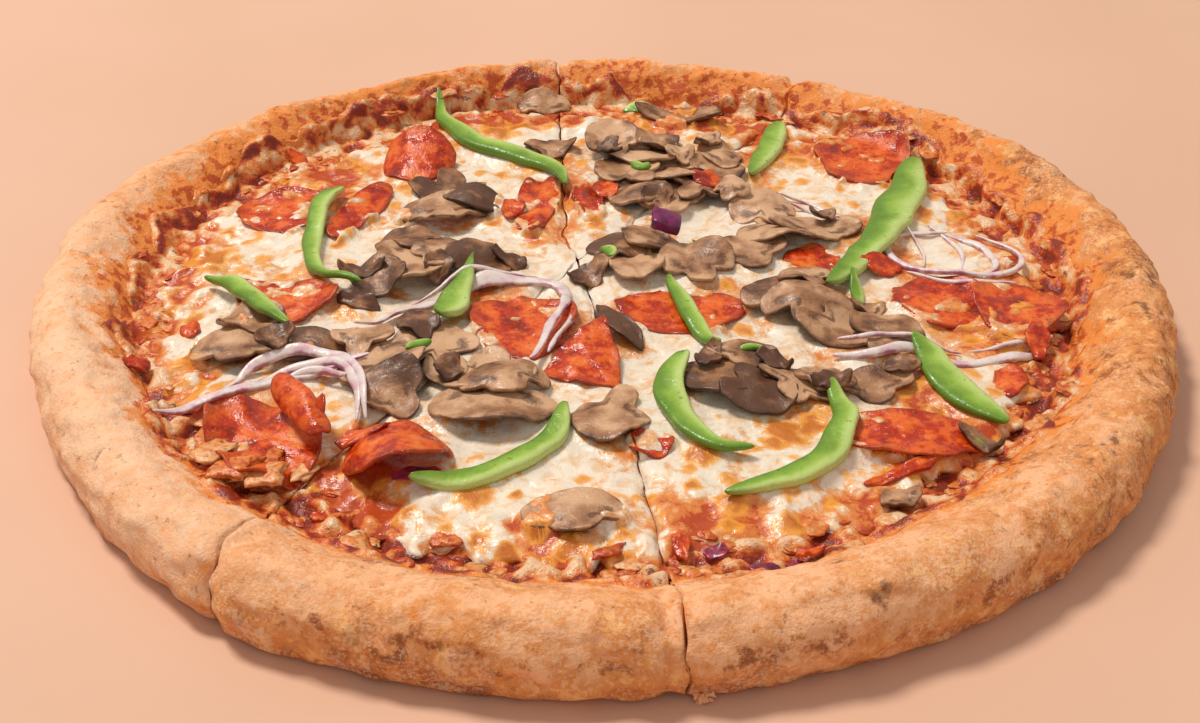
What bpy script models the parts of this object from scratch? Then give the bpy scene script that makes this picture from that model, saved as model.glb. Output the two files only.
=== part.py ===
"""Round pizza with a puffy rim, cut into four pieces that still lie together.

Each piece has its own crust, sauce and cheese. Pepperoni, mushroom, onion and green
pepper pieces are laid on top one after another, each on whatever already lies there.
Sizes are in millimetres and become metres when a mesh is made.
The origin is the middle of the underside, +Z is up and -Y is the front.
"""

import math

import bmesh
import bpy
import numpy as np
from mathutils import Matrix, Vector, noise
from mathutils.bvhtree import BVHTree

MM = 0.001

# Driving dimensions of the bread
RADIUS = 178.8
RIM_HEIGHT = 23.5
BASE_THICKNESS = 7.0
UNDERSIDE_INSET = 7.0
CREST_INSET = 10.5
SAUCE_EDGE = 154.0
SAUCE_EDGE_SHIFT = 8.5
RIM_FOOT_INSET = 5.5

EVEN_COLUMNS = 84

# Driving dimensions of the layers
SAUCE_GAP = 0.6
SAUCE_THICKNESS = 1.3
CHEESE_BOTTOM = BASE_THICKNESS + SAUCE_GAP + SAUCE_THICKNESS + 0.3
CHEESE_THICKNESS = 2.4
CHEESE_INSET = 12.0
CHEESE_CELL = 9.0
CHEESE_SLAB_HALF = 156.0
CHEESE_OUTLINE_STEPS = 132
SAUCE_COLUMNS = 48

# The two cuts meet off the middle; each half cut runs from there to past the rim
CROSSING = (-7.0, 24.0)
CUT_WIDTH = 0.8
WEDGE_REACH = 240.0
HALF_CUTS = {
    "front": [(5.0, -50.0), (12.0, -100.0), (26.0, -220.0)],
    "back_right": [(120.0, 214.5)],
    "back": [(-12.0, 44.0), (-18.0, 220.0)],
    "front_left": [(-84.0, -103.0), (-90.0, -121.0), (-99.0, -150.0), (-120.0, -217.0)],
}
RIM_CUT_ANGLES = [-84.4, 63.4, 95.0, 236.4]
PIECES = {
    "front": ("front_left", "front"),
    "right": ("front", "back_right"),
    "back": ("back_right", "back"),
    "left": ("back", "front_left"),
}

# Laying the toppings
CLEARANCE = 0.3
FIELD_STEP = 2.0
FIELD_REACH = 186.0
RAY_START = 90.0

COLOURS = {
    "crust": (0.62, 0.36, 0.16),
    "sauce": (0.45, 0.07, 0.02),
    "cheese": (0.80, 0.70, 0.50),
    "pepperoni": (0.62, 0.13, 0.03),
    "pepper": (0.22, 0.42, 0.05),
    "onion": (0.70, 0.55, 0.60),
    "mushroom": (0.30, 0.21, 0.13),
}


def clear_scene():
    for item in list(bpy.data.objects):
        bpy.data.objects.remove(item, do_unlink=True)


def new_collection(name, parent=None):
    group = bpy.data.collections.new(name)
    (parent or bpy.context.scene.collection).children.link(group)
    return group


def make_material(name, roughness):
    material = bpy.data.materials.new(name)
    material.use_nodes = True
    shader = material.node_tree.nodes["Principled BSDF"]
    shader.inputs["Base Color"].default_value = (*COLOURS[name], 1.0)
    shader.inputs["Roughness"].default_value = roughness
    shader.inputs["Metallic"].default_value = 0.0
    return material


def ball(columns, rings, point_of):
    """A sphere's skin whose points move to point_of(column, ring), ring 0 its top pole."""
    skin = bmesh.new()
    bmesh.ops.create_uvsphere(skin, u_segments=columns, v_segments=rings, radius=1.0)
    for point in skin.verts:
        ring = round(math.acos(max(-1.0, min(1.0, point.co.z))) / math.pi * rings)
        column = round(math.atan2(point.co.y, point.co.x) / (2.0 * math.pi) * columns)
        point.co = Vector(point_of(column % columns, ring))
    if skin.calc_volume(signed=True) < 0.0:
        bmesh.ops.reverse_faces(skin, faces=skin.faces)
    return skin


def make_object(name, skin, collection, material=None):
    mesh = bpy.data.meshes.new(name)
    bmesh.ops.scale(skin, vec=(MM, MM, MM), verts=skin.verts)
    skin.to_mesh(mesh)
    skin.free()
    item = bpy.data.objects.new(name, mesh)
    collection.objects.link(item)
    if material:
        mesh.materials.append(material)
        mesh.shade_smooth()
    return item


def bake_modifiers(item):
    """Replace an object's mesh by what its modifiers make of it."""
    depsgraph = bpy.context.evaluated_depsgraph_get()
    mesh = bpy.data.meshes.new_from_object(item.evaluated_get(depsgraph))
    item.modifiers.clear()
    old_mesh = item.data
    item.data = mesh
    bpy.data.meshes.remove(old_mesh)
    mesh.name = item.name


def ripple(angle, terms):
    """A sum of sines round the pizza; each term is waves, size and phase."""
    return sum(size * math.sin(waves * angle + phase) for waves, size, phase in terms)


def near_cut(angle, reach):
    """1 at a cut through the rim, falling to 0 about reach degrees away from it."""
    total = 0.0
    for cut in RIM_CUT_ANGLES:
        away = (math.degrees(angle) - cut + 180.0) % 360.0 - 180.0
        total += math.exp(-((away / reach) ** 2))
    return total


def rim_radius(angle):
    lobes = [(1, 0.6, 1.1), (2, 1.1, 2.0), (3, 1.4, -0.2), (4, 1.0, 2.9), (5, 1.1, -0.2)]
    front_left = (math.degrees(angle) - RIM_CUT_ANGLES[3] + 180.0) % 360.0 - 180.0
    swell = 2.0 * math.exp(-(((front_left - 4.0) / 4.0) ** 2))
    return RADIUS + ripple(angle, lobes) + swell - 1.9 * near_cut(angle, 1.1)


def rim_height(angle):
    uneven = ripple(angle, [(2, 0.7, 1.9), (4, 0.6, 0.2), (7, 0.5, 2.7), (11, 0.4, 1.3)])
    return RIM_HEIGHT + uneven - 2.2 * near_cut(angle, 1.1)


def sauce_radius(angle):
    uneven = ripple(angle, [(3, 1.0, 0.5), (6, 0.9, 2.2), (10, 0.8, 0.9)])
    return SAUCE_EDGE + SAUCE_EDGE_SHIFT * math.sin(angle) + uneven


def inner_slope(angle, radius):
    """Height of the rim's inner side at a radius between its foot and its crest."""
    crest = rim_radius(angle) - CREST_INSET + math.sin(angle)
    foot = sauce_radius(angle) - RIM_FOOT_INSET
    inward = min(1.0, max(0.0, (crest - radius) / (crest - foot)))
    rise = rim_height(angle) - BASE_THICKNESS
    return BASE_THICKNESS + rise * (1.0 - inward**1.7) ** 0.9


def rim_outside(angle, degrees):
    """Point of the rim's outer side, from 90 degrees at the crest to below the bulge."""
    height = rim_height(angle)
    reach = CREST_INSET - math.sin(angle)
    middle = 0.45 * height
    turn = math.radians(degrees)
    radius = rim_radius(angle) - reach + reach * math.cos(turn)
    return radius, middle + (height - middle) * math.sin(turn)


def crag(x, y, z):
    """Low bumps of the baked rim."""
    return 0.55 * noise.noise(Vector((x, y, z * 1.6)) / 13.0)


def rim_columns():
    """Angles of the bread's columns, even ones and some close to each cut."""
    even = [index * 360.0 / EVEN_COLUMNS for index in range(EVEN_COLUMNS)]
    close = [(cut + side) % 360.0 for cut in RIM_CUT_ANGLES for side in (-2.3, -0.9, 0.9, 2.3)]
    far = [a for a in even if min(abs((a - c + 180.0) % 360.0 - 180.0) for c in close) > 1.3]
    return [math.radians(angle) for angle in sorted(far + close)]


def crust_skin():
    columns = rim_columns()
    outside = [62.0, 35.0, 5.0, -30.0]

    def profile(angle, ring):
        foot = sauce_radius(angle) - RIM_FOOT_INSET
        edge = sauce_radius(angle)
        crest = rim_radius(angle) - CREST_INSET + math.sin(angle)
        slopes = [foot, 0.6 * foot + 0.4 * edge, edge, 0.5 * edge + 0.5 * crest, crest]
        if ring == 0:
            return 0.0, BASE_THICKNESS
        if ring == 1:
            return 0.5 * foot, BASE_THICKNESS
        if ring < 7:
            return slopes[ring - 2], inner_slope(angle, slopes[ring - 2])
        if ring < 11:
            return rim_outside(angle, outside[ring - 7])
        if ring == 11:
            return rim_radius(angle) - UNDERSIDE_INSET, 0.0
        return 0.0, 0.0

    def point_of(column, ring):
        angle = columns[column]
        radius, height = profile(angle, ring)
        x = radius * math.cos(angle)
        y = radius * math.sin(angle)
        if 5 <= ring < 11:
            push = 1.0 + crag(x, y, height) / radius
            return x * push, y * push, height + 1.4 * crag(y, x, height)
        return x, y, height

    return ball(len(columns), 12, point_of)


def sauce_skin():
    def point_of(column, ring):
        angle = 2.0 * math.pi * column / SAUCE_COLUMNS
        edge = sauce_radius(angle)
        foot = edge - RIM_FOOT_INSET
        reaches = [0.0, foot - 1.5, 0.6 * foot + 0.4 * edge, edge]
        upper = ring < 4
        radius = reaches[ring if upper else 7 - ring]
        level = inner_slope(angle, radius) + SAUCE_GAP + (SAUCE_THICKNESS if upper else 0.0)
        return radius * math.cos(angle), radius * math.sin(angle), level

    return ball(SAUCE_COLUMNS, 7, point_of)


def cheese_radius(angle):
    uneven = ripple(angle, [(3, 1.6, 4.2), (7, 2.2, 0.7), (13, 2.2, 1.9), (22, 1.8, 3.0)])
    limit = sauce_radius(angle) - RIM_FOOT_INSET - 2.5
    return min(limit, sauce_radius(angle) - CHEESE_INSET + uneven)


def cheese_height(x, y):
    """Upper face of the melted cheese: soft swells, lower towards its ragged edge."""
    swell = 0.9 * noise.noise(Vector((x, y, 0.0)) / 24.0)
    lump = 0.5 * noise.noise(Vector((x, y, 7.0)) / 9.0)
    from_edge = cheese_radius(math.atan2(y, x)) - math.hypot(x, y)
    fade = 1.0 - 0.55 * math.exp(-max(0.0, from_edge) / 6.0)
    return CHEESE_BOTTOM + CHEESE_THICKNESS * fade + (swell + lump) * fade


def cheese_skin():
    """A square slab with the cheese's upper face; the outline is cut from it later."""
    skin = bmesh.new()
    cells = round(2.0 * CHEESE_SLAB_HALF / CHEESE_CELL)
    bmesh.ops.create_grid(skin, x_segments=cells, y_segments=cells, size=CHEESE_SLAB_HALF)
    for point in skin.verts:
        point.co.z = cheese_height(point.co.x, point.co.y)
    rim = [edge for edge in skin.edges if edge.is_boundary]
    wall = bmesh.ops.extrude_edge_only(skin, edges=rim)["geom"]
    for point in wall:
        if isinstance(point, bmesh.types.BMVert):
            point.co.z = CHEESE_BOTTOM
    open_edges = [edge for edge in skin.edges if edge.is_boundary]
    bmesh.ops.contextual_create(skin, geom=open_edges)
    bmesh.ops.recalc_face_normals(skin, faces=skin.faces)
    return skin


def prism_skin(outline):
    """An upright prism on a flat outline, taller than the whole pizza."""
    skin = bmesh.new()
    corners = [skin.verts.new((x, y, -20.0)) for x, y in outline]
    face = skin.faces.new(corners)
    lifted = bmesh.ops.extrude_face_region(skin, geom=[face])["geom"]
    top = [item for item in lifted if isinstance(item, bmesh.types.BMVert)]
    bmesh.ops.translate(skin, verts=top, vec=(0.0, 0.0, 80.0))
    bmesh.ops.recalc_face_normals(skin, faces=skin.faces)
    return skin


def shifted(points, side):
    """A cut's points moved sideways, to its left for side 1 and its right for side -1."""
    route = [Vector(CROSSING)] + [Vector(point) for point in points]
    moved = []
    for index in range(1, len(route)):
        ahead = route[min(index + 1, len(route) - 1)] - route[index - 1]
        ahead.normalize()
        moved.append(route[index] + side * CUT_WIDTH / 2.0 * Vector((-ahead.y, ahead.x)))
    return moved


def wedge_outline(first, last):
    """Outline of one piece, anticlockwise from one cut to the next."""
    leaving = (Vector(HALF_CUTS[first][0]) - Vector(CROSSING)).normalized()
    coming = (Vector(HALF_CUTS[last][0]) - Vector(CROSSING)).normalized()
    opening = (math.atan2(coming.y, coming.x) - math.atan2(leaving.y, leaving.x)) % (2 * math.pi)
    middle = Matrix.Rotation(opening / 2.0, 2) @ leaving
    tip = Vector(CROSSING) + middle * (CUT_WIDTH / 2.0 / math.sin(opening / 2.0))
    out = shifted(HALF_CUTS[first], 1.0)
    back = shifted(HALF_CUTS[last], -1.0)
    start = math.atan2(out[-1].y, out[-1].x)
    sweep = (math.atan2(back[-1].y, back[-1].x) - start) % (2 * math.pi)
    steps = max(2, math.ceil(sweep / math.radians(25.0)))
    arc = [start + sweep * index / steps for index in range(steps + 1)]
    outer = [WEDGE_REACH * Vector((math.cos(angle), math.sin(angle))) for angle in arc]
    return [tip] + out + outer + list(reversed(back))


def cut_with(item, cutter, operation):
    """Boolean of an object with one cutter, kept as its new mesh."""
    modifier = item.modifiers.new("cut", "BOOLEAN")
    modifier.operation = operation
    modifier.solver = "EXACT"
    modifier.object = cutter
    bake_modifiers(item)


def add_cutter(name, outline, cutters):
    cutter = make_object(name, prism_skin(outline), cutters)
    cutter.hide_render = True
    cutter.display_type = "WIRE"
    return cutter


def make_layers(parts, cutters, materials):
    """Crust, sauce and cheese, each in the four pieces that the cuts make."""
    wedges = {}
    for piece, (first, last) in PIECES.items():
        wedges[piece] = add_cutter(f"wedge_{piece}", wedge_outline(first, last), cutters)
    steps = CHEESE_OUTLINE_STEPS
    ring = [2.0 * math.pi * index / steps for index in range(steps)]
    edge = [(cheese_radius(a) * math.cos(a), cheese_radius(a) * math.sin(a)) for a in ring]
    cheese_outline = add_cutter("cheese_outline", edge, cutters)
    skins = {"crust": crust_skin, "sauce": sauce_skin, "cheese": cheese_skin}
    layers = []
    for layer, skin_of in skins.items():
        for piece, wedge in wedges.items():
            item = make_object(f"{layer}_{piece}", skin_of(), parts, materials[layer])
            if layer == "cheese":
                cut_with(item, cheese_outline, "INTERSECT")
            cut_with(item, wedge, "INTERSECT")
            layers.append(item)
    return layers


def smooth_route(points, count):
    """Evenly spaced points on a smooth curve through a few given points."""
    given = np.array(points, float)
    ends = np.vstack([2 * given[0] - given[1], given, 2 * given[-1] - given[-2]])
    dense = []
    for index in range(1, len(ends) - 2):
        before, start, end, after = ends[index - 1 : index + 3]
        for part in np.linspace(0.0, 1.0, 20, endpoint=index == len(ends) - 3):
            straight = 2 * start + (end - before) * part
            bend = (2 * before - 5 * start + 4 * end - after) * part**2
            twist = (3 * start - before - 3 * end + after) * part**3
            dense.append(0.5 * (straight + bend + twist))
    dense = np.array(dense)
    run = np.concatenate([[0.0], np.cumsum(np.linalg.norm(np.diff(dense, axis=0), axis=1))])
    wanted = np.linspace(0.0, run[-1], count)
    return np.column_stack([np.interp(wanted, run, dense[:, axis]) for axis in range(2)])


def strip_skin(points, width, height, stations, sides, blunt=0.6, groove=0.0, fullest=0.5):
    """A tapering strip along a route; groove hollows its upper face."""
    route = smooth_route(points, stations + 1)
    ahead = np.gradient(route, axis=0)
    ahead /= np.linalg.norm(ahead, axis=1)[:, None]

    def point_of(column, ring):
        part = ring / stations
        swell = math.sin(math.pi * part ** (math.log(0.5) / math.log(fullest))) ** blunt
        turn = 2.0 * math.pi * column / sides
        across = 0.5 * width * swell * math.cos(turn)
        up = 0.5 * height * swell**0.6 * math.sin(turn)
        if math.sin(turn) > 0.1:
            up -= groove * swell * (1.0 - abs(math.cos(turn)))
        side = (-ahead[ring][1], ahead[ring][0])
        x = route[ring][0] + side[0] * across
        y = route[ring][1] + side[1] * across
        return x, y, 0.5 * height + up

    return ball(sides, stations, point_of)


def outline_reach(angle, kind, sharpness):
    """Radius of a slice's outline, as a share of its half size."""
    if kind == "mushroom":
        away = (angle + math.pi / 2.0 + math.pi) % (2.0 * math.pi) - math.pi
        notch = 0.42 * sharpness * math.exp(-(((abs(away) - 0.72) / 0.3) ** 2))
        stem = 0.12 * sharpness * math.exp(-((away / 0.3) ** 2))
        return 1.0 - notch + stem
    if kind == "round":
        return 1.0 + 0.05 * sharpness * math.sin(3.0 * angle) + 0.04 * math.sin(5.0 * angle + 1.0)
    corners = {"triangle": 3, "square": 4}[kind]
    sector = 2.0 * math.pi / corners
    away = (angle - math.pi / 2.0 + sector / 2.0) % sector - sector / 2.0
    flat = math.cos(sector / 2.0) / math.cos(abs(away) - sector / 2.0)
    return 1.0 + sharpness * (flat - 1.0)


def slice_skin(at, size, thick, turn=0, lean=0, tip=0, bend=0, wave=0, kind="round", sharp=1.0,
               columns=14, rings=5):
    """A thin slice: bent on a cylinder, ruffled, leant back, tipped sideways, then turned."""
    reaches = {5: [0.0, 0.6, 1.0, 1.0, 0.6, 0.0], 3: [0.0, 1.0, 1.0, 0.0]}[rings]
    place = Matrix.Rotation(math.radians(turn), 3, "Z")
    place = place @ Matrix.Rotation(math.radians(lean), 3, "X")
    place = place @ Matrix.Rotation(math.radians(-tip), 3, "Y")

    def point_of(column, ring):
        angle = 2.0 * math.pi * column / columns
        share = reaches[ring]
        reach = share * outline_reach(angle, kind, sharp)
        across = 0.5 * size[0] * reach * math.cos(angle)
        along = 0.5 * size[1] * reach * math.sin(angle)
        off = (0.5 if ring < (rings + 1) / 2 else -0.5) * thick
        if share == 1.0:
            off *= 0.7
        if bend:
            swing = across / bend
            across = (bend - off) * math.sin(swing)
            off = bend - (bend - off) * math.cos(swing)
        off += wave * share**2 * math.sin(3.0 * angle + 0.01 * size[0] * size[1])
        x, y, z = place @ Vector((across, along, off))
        return at[0] + x, at[1] + y, z

    return ball(columns, rings, point_of)


def neighbours(field, reach):
    """The grid shifted by up to reach cells each way, one copy for each shift."""
    padded = np.pad(field, reach, mode="edge")
    span = range(2 * reach + 1)
    size = len(field)
    return [padded[i : i + size, j : j + size] for i in span for j in span]


class Table:
    """What lies on the pizza so far: its heights on a grid, and its solids."""

    def __init__(self):
        count = int(2 * FIELD_REACH / FIELD_STEP) + 1
        self.heights = np.zeros((count, count))
        self.smooth = self.heights
        self.trees = []

    def add_heights(self, skin):
        """Raise the grid to the top of one more solid."""
        tree = BVHTree.FromBMesh(skin)
        places = np.array([point.co for point in skin.verts])
        low = np.floor((places.min(axis=0)[:2] + FIELD_REACH) / FIELD_STEP).astype(int)
        high = np.ceil((places.max(axis=0)[:2] + FIELD_REACH) / FIELD_STEP).astype(int)
        down = Vector((0.0, 0.0, -1.0))
        for row in range(max(0, low[0]), min(len(self.heights) - 1, high[0]) + 1):
            for column in range(max(0, low[1]), min(len(self.heights) - 1, high[1]) + 1):
                x = row * FIELD_STEP - FIELD_REACH
                y = column * FIELD_STEP - FIELD_REACH
                hit = tree.ray_cast(Vector((x, y, RAY_START)), down)[0]
                if hit and hit.z > self.heights[row, column]:
                    self.heights[row, column] = hit.z
        peaks = np.maximum.reduce(neighbours(self.heights, 1))
        self.smooth = sum(neighbours(peaks, 2)) / 25.0
        return tree

    def add(self, skin):
        tree = self.add_heights(skin)
        self.trees.append(tree)

    def level(self, places, field):
        """Heights of a grid, the raw or the smooth one, under some points."""
        spot = (places[:, :2] + FIELD_REACH) / FIELD_STEP
        cell = np.clip(np.floor(spot).astype(int), 0, len(field) - 2)
        part = np.clip(spot - cell, 0.0, 1.0)
        i, j = cell[:, 0], cell[:, 1]
        near = field[i, j] * (1 - part[:, 1]) + field[i, j + 1] * part[:, 1]
        far = field[i + 1, j] * (1 - part[:, 1]) + field[i + 1, j + 1] * part[:, 1]
        return near * (1 - part[:, 0]) + far * part[:, 0]

    def touches(self, skin):
        """Whether a solid, grown by the clearance, meets a solid that already lies here."""
        skin.normal_update()
        grown = skin.copy()
        for point, old in zip(grown.verts, skin.verts):
            point.co = old.co + CLEARANCE * old.normal
        tree = BVHTree.FromBMesh(grown)
        grown.free()
        return any(tree.overlap(other) for other in self.trees)

    def lay(self, skin, soft, sink=0.0):
        """Drape a piece over what lies here, then move it up or down until it rests."""
        skin.verts.ensure_lookup_table()
        places = np.array([point.co for point in skin.verts])
        under = self.level(places, self.smooth)
        places[:, 2] += under.mean() + soft * (under - under.mean())
        raw = self.level(places, self.heights)
        places[:, 2] += (raw + CLEARANCE - sink - places[:, 2]).max()
        for point, place in zip(skin.verts, places):
            point.co = Vector(place)
        for _ in range(80):
            if not self.touches(skin):
                return
            bmesh.ops.translate(skin, verts=skin.verts, vec=(0.0, 0.0, 0.15))


    def settle(self, skin, laid):
        """Lower a piece of a heap until it meets the heap, or what else lies below it."""
        trees = [BVHTree.FromBMesh(other) for other in laid]
        for _ in range(40):
            tree = BVHTree.FromBMesh(skin)
            if not laid or any(tree.overlap(other) for other in trees):
                return
            bmesh.ops.translate(skin, verts=skin.verts, vec=(0.0, 0.0, -0.3))
            if self.touches(skin):
                bmesh.ops.translate(skin, verts=skin.verts, vec=(0.0, 0.0, 0.3))
                return


def skin_of_object(item):
    """An object's mesh as a skin in millimetres."""
    skin = bmesh.new()
    skin.from_mesh(item.data)
    bmesh.ops.scale(skin, vec=(1.0 / MM, 1.0 / MM, 1.0 / MM), verts=skin.verts)
    return skin


def put_single(table, name, skin, soft, parts, material):
    table.lay(skin, soft)
    table.add(skin)
    return make_object(name, skin, parts, material)


def put_heap(table, name, skins, soft, sink, parts, cutters, material):
    """Several pieces that lie in each other, joined into one solid."""
    scraps = new_collection(f"{name}_scraps", cutters)
    laid = []
    for skin in skins:
        table.lay(skin, soft, sink if laid else 0.0)
        table.settle(skin, laid)
        table.add_heights(skin)
        laid.append(skin)
    heap = make_object(name, laid[0], parts, material)
    for index, skin in enumerate(laid[1:]):
        make_object(f"{name}_scrap_{index}", skin, scraps)
    join = heap.modifiers.new("join", "BOOLEAN")
    join.operation = "UNION"
    join.operand_type = "COLLECTION"
    join.solver = "EXACT"
    join.collection = scraps
    bake_modifiers(heap)
    for scrap in list(scraps.objects):
        bpy.data.objects.remove(scrap, do_unlink=True)
    bpy.data.collections.remove(scraps)
    whole = skin_of_object(heap)
    table.trees.append(BVHTree.FromBMesh(whole))
    whole.free()
    return heap


def pepperoni_slices():
    """Name, softness and skin of each slice of sausage, the lowest first."""
    thick = 1.9
    slices = [
        ("pepperoni_far_right", 0.9, dict(at=(96, 99), size=(34, 38), bend=90)),
        ("pepperoni_right_inner", 0.9, dict(at=(109, -6), size=(30, 32), turn=20, bend=70)),
        ("pepperoni_right_outer", 0.7, dict(at=(131, -13), size=(28, 32), turn=-15, bend=90)),
        ("pepperoni_middle_right", 0.9, dict(at=(25, -11), size=(40, 28), wave=0.6)),
        ("pepperoni_middle", 0.8, dict(at=(-24, -20), size=(32, 38), turn=8, bend=60)),
        ("pepperoni_cut", 0.4, dict(at=(-4, -42), size=(30, 42), turn=-14, lean=6, bend=-28,
                                    kind="triangle", sharp=0.75)),
        ("pepperoni_back_left", 0.9, dict(at=(-110, 58), size=(33, 32), turn=15, wave=0.8)),
        ("pepperoni_behind_pepper", 0.6, dict(at=(-83, 57), size=(12, 42), turn=-22, tip=-12)),
        ("pepperoni_left", 0.8, dict(at=(-101, -4), size=(34, 27), turn=-5, bend=38)),
        ("pepperoni_upright", 0.2, dict(at=(-66, 93), size=(29, 27), turn=-8, lean=20, bend=-18)),
        ("pepperoni_torn", 0.6, dict(at=(-22, 63), size=(14, 42), turn=-6, wave=1.2)),
        ("pepperoni_torn_right", 0.6, dict(at=(-4, 65), size=(10, 26), turn=10, wave=0.8)),
        ("pepperoni_folded", 0.4, dict(at=(-94, -83), size=(35, 40), turn=20, lean=4, bend=32,
                                       wave=3.0)),
        ("pepperoni_curled", 0.2, dict(at=(-56, -92), size=(36, 24), turn=18, lean=-14,
                                       bend=-17)),
        ("pepperoni_front_right", 0.8, dict(at=(86, -82), size=(44, 21), turn=-8, bend=-70)),
        ("pepperoni_small_right", 0.7, dict(at=(71, 20), size=(18, 22), turn=20, wave=0.6)),
        ("pepperoni_scrap", 0.7, dict(at=(14, -84), size=(13, 11), wave=0.5)),
    ]
    return [(name, soft, slice_skin(thick=thick, columns=11, **shape))
            for name, soft, shape in slices]


def onion_strands():
    """Width and route of the strands in each group of onion."""
    return {
        "onion_arc": [
            (4.0, [(-76, -27), (-58, -10), (-36, 3), (-14, 4), (-12, -14), (-17, -32), (-21, -46)]),
        ],
        "onion_left": [
            (3.6, [(-127, -76), (-114, -62), (-92, -52), (-68, -48)]),
            (3.4, [(-111, -60), (-103, -46), (-88, -42), (-73, -51), (-67, -74)]),
            (3.0, [(-104, -58), (-92, -48), (-78, -48), (-71, -60), (-70, -74)]),
        ],
        "onion_ring": [
            (2.8, [(118, 40), (99, 36), (97, 21), (112, 9), (134, 12), (139, 26), (127, 39)]),
            (2.6, [(112, 45), (126, 34), (131, 20), (124, 7)]),
        ],
        "onion_front_right": [
            (2.6, [(70, -38), (84, -39), (96, -37), (107, -43)]),
            (4.6, [(101, -40), (110, -41), (122, -37), (133, -34)]),
        ],
    }


def mushroom_heaps():
    """Overlapping mushroom slices: at, size, turn, lean, bend and stem of each."""
    return {
        "mushrooms_back": [
            ((24, 64), (26, 22), 10, 3, 45, 0.4), ((13, 66), (22, 20), 200, 4, 0, 0.8),
            ((35, 70), (24, 20), -30, 0, 36, 0.9), ((25, 82), (28, 24), 160, 5, 0, 0.6),
            ((10, 84), (24, 26), 30, 6, 40, 1.0), ((41, 86), (24, 22), -60, 4, 34, 0.9),
            ((16, 99), (30, 24), 185, 6, 0, 0.8), ((5, 107), (22, 26), 10, 14, 34, 1.0),
            ((22, 107), (20, 18), 60, 3, 26, 0.5), ((44, 100), (16, 24), 20, 4, -24, 0.3),
        ],
        "mushrooms_back_right": [
            ((50, 26), (26, 22), 15, 3, 40, 0.6), ((62, 42), (34, 28), 200, 5, -45, 1.0),
            ((57, 56), (24, 26), 20, 8, -30, 1.0), ((73, 40), (34, 17), 12, 2, 50, 0.5),
        ],
        "mushrooms_middle": [
            ((12, 17), (20, 26), 170, 4, 36, 0.7), ((5, 26), (20, 22), -30, 4, -30, 0.6),
            ((17, 31), (20, 20), 80, 3, 34, 0.5), ((32, 17), (26, 22), 10, 6, -30, 0.8),
        ],
        "mushrooms_right": [
            ((59, -6), (30, 19), 10, 3, -36, 0.6), ((66, -14), (34, 19), -5, 3, -40, 0.8),
            ((75, -25), (32, 17), 175, 3, 40, 0.9), ((88, -28), (24, 19), -20, 2, 45, 0.7),
            ((66, 3), (20, 14), 30, 8, 0, 0.8),
        ],
        "mushrooms_front_right": [
            ((37, -52), (30, 24), 160, 5, -34, 0.9), ((43, -42), (24, 15), 5, 6, 28, 0.5),
            ((46, -61), (24, 22), 200, 4, 36, 0.9), ((58, -58), (26, 13), -28, 4, 0, 0.8),
            ((80, -55), (26, 16), 12, 4, 40, 0.6), ((66, -56), (18, 12), -10, 2, 0, 0.4),
        ],
        "mushrooms_front_left": [
            ((-31, -67), (38, 24), 175, 4, -45, 0.9), ((-36, -50), (36, 26), 160, 3, 50, 1.0),
            ((-50, -36), (28, 30), 30, 7, -40, 1.0), ((-28, -58), (28, 18), 15, 2, -34, 0.5),
            ((-56, -25), (14, 16), 20, 10, 20, 0.5),
        ],
        "mushrooms_left": [
            ((-111, -36), (28, 18), 10, 3, -24, 0.5), ((-91, -34), (30, 17), -12, 4, -26, 0.7),
            ((-108, -22), (22, 20), 30, 4, 34, 0.4),
        ],
        "mushrooms_left_inner": [
            ((-66, -46), (28, 28), 210, 4, -34, 0.8), ((-61, -61), (22, 20), 40, 3, 20, 0.6),
            ((-72, -34), (20, 16), -10, 5, 0, 0.7),
        ],
        "mushrooms_back_left": [
            ((-60, 16), (26, 30), 150, 4, 45, 0.9), ((-64, 31), (24, 18), 15, 3, -28, 0.6),
            ((-51, 18), (24, 18), -20, 3, -28, 0.5), ((-40, 16), (22, 22), 10, 3, -30, 0.3),
            ((-72, 5), (20, 18), 10, 3, 24, 0.2),
        ],
        "mushrooms_back_left_outer": [
            ((-54, 53), (32, 17), 8, 3, -30, 0.5), ((-43, 59), (26, 15), -6, 3, -20, 0.2),
        ],
    }


def mushroom_singles():
    """Mushroom slices that lie alone: at, size, turn, lean, bend and stem of each."""
    return {
        "mushroom_under_sausage": ((-54, 74), (28, 22), 175, 4, 36, 0.9),
        "mushroom_by_cut": ((3, -72), (24, 26), 160, 3, -30, 0.7),
        "mushroom_front": ((-7, -118), (30, 16), 8, 2, -36, 0.5),
        "mushroom_dark": ((6, -24), (10, 24), 35, 8, -14, 0.2),
        "mushroom_far_back": ((30, 136), (34, 14), -8, 2, 40, 0.3),
    }


def mushroom_skin(values):
    at, size, turn, lean, bend, stem = values
    return slice_skin(at, size, 2.6, turn, lean, 0, bend, 0.7, "mushroom", stem, 10, 3)


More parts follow.
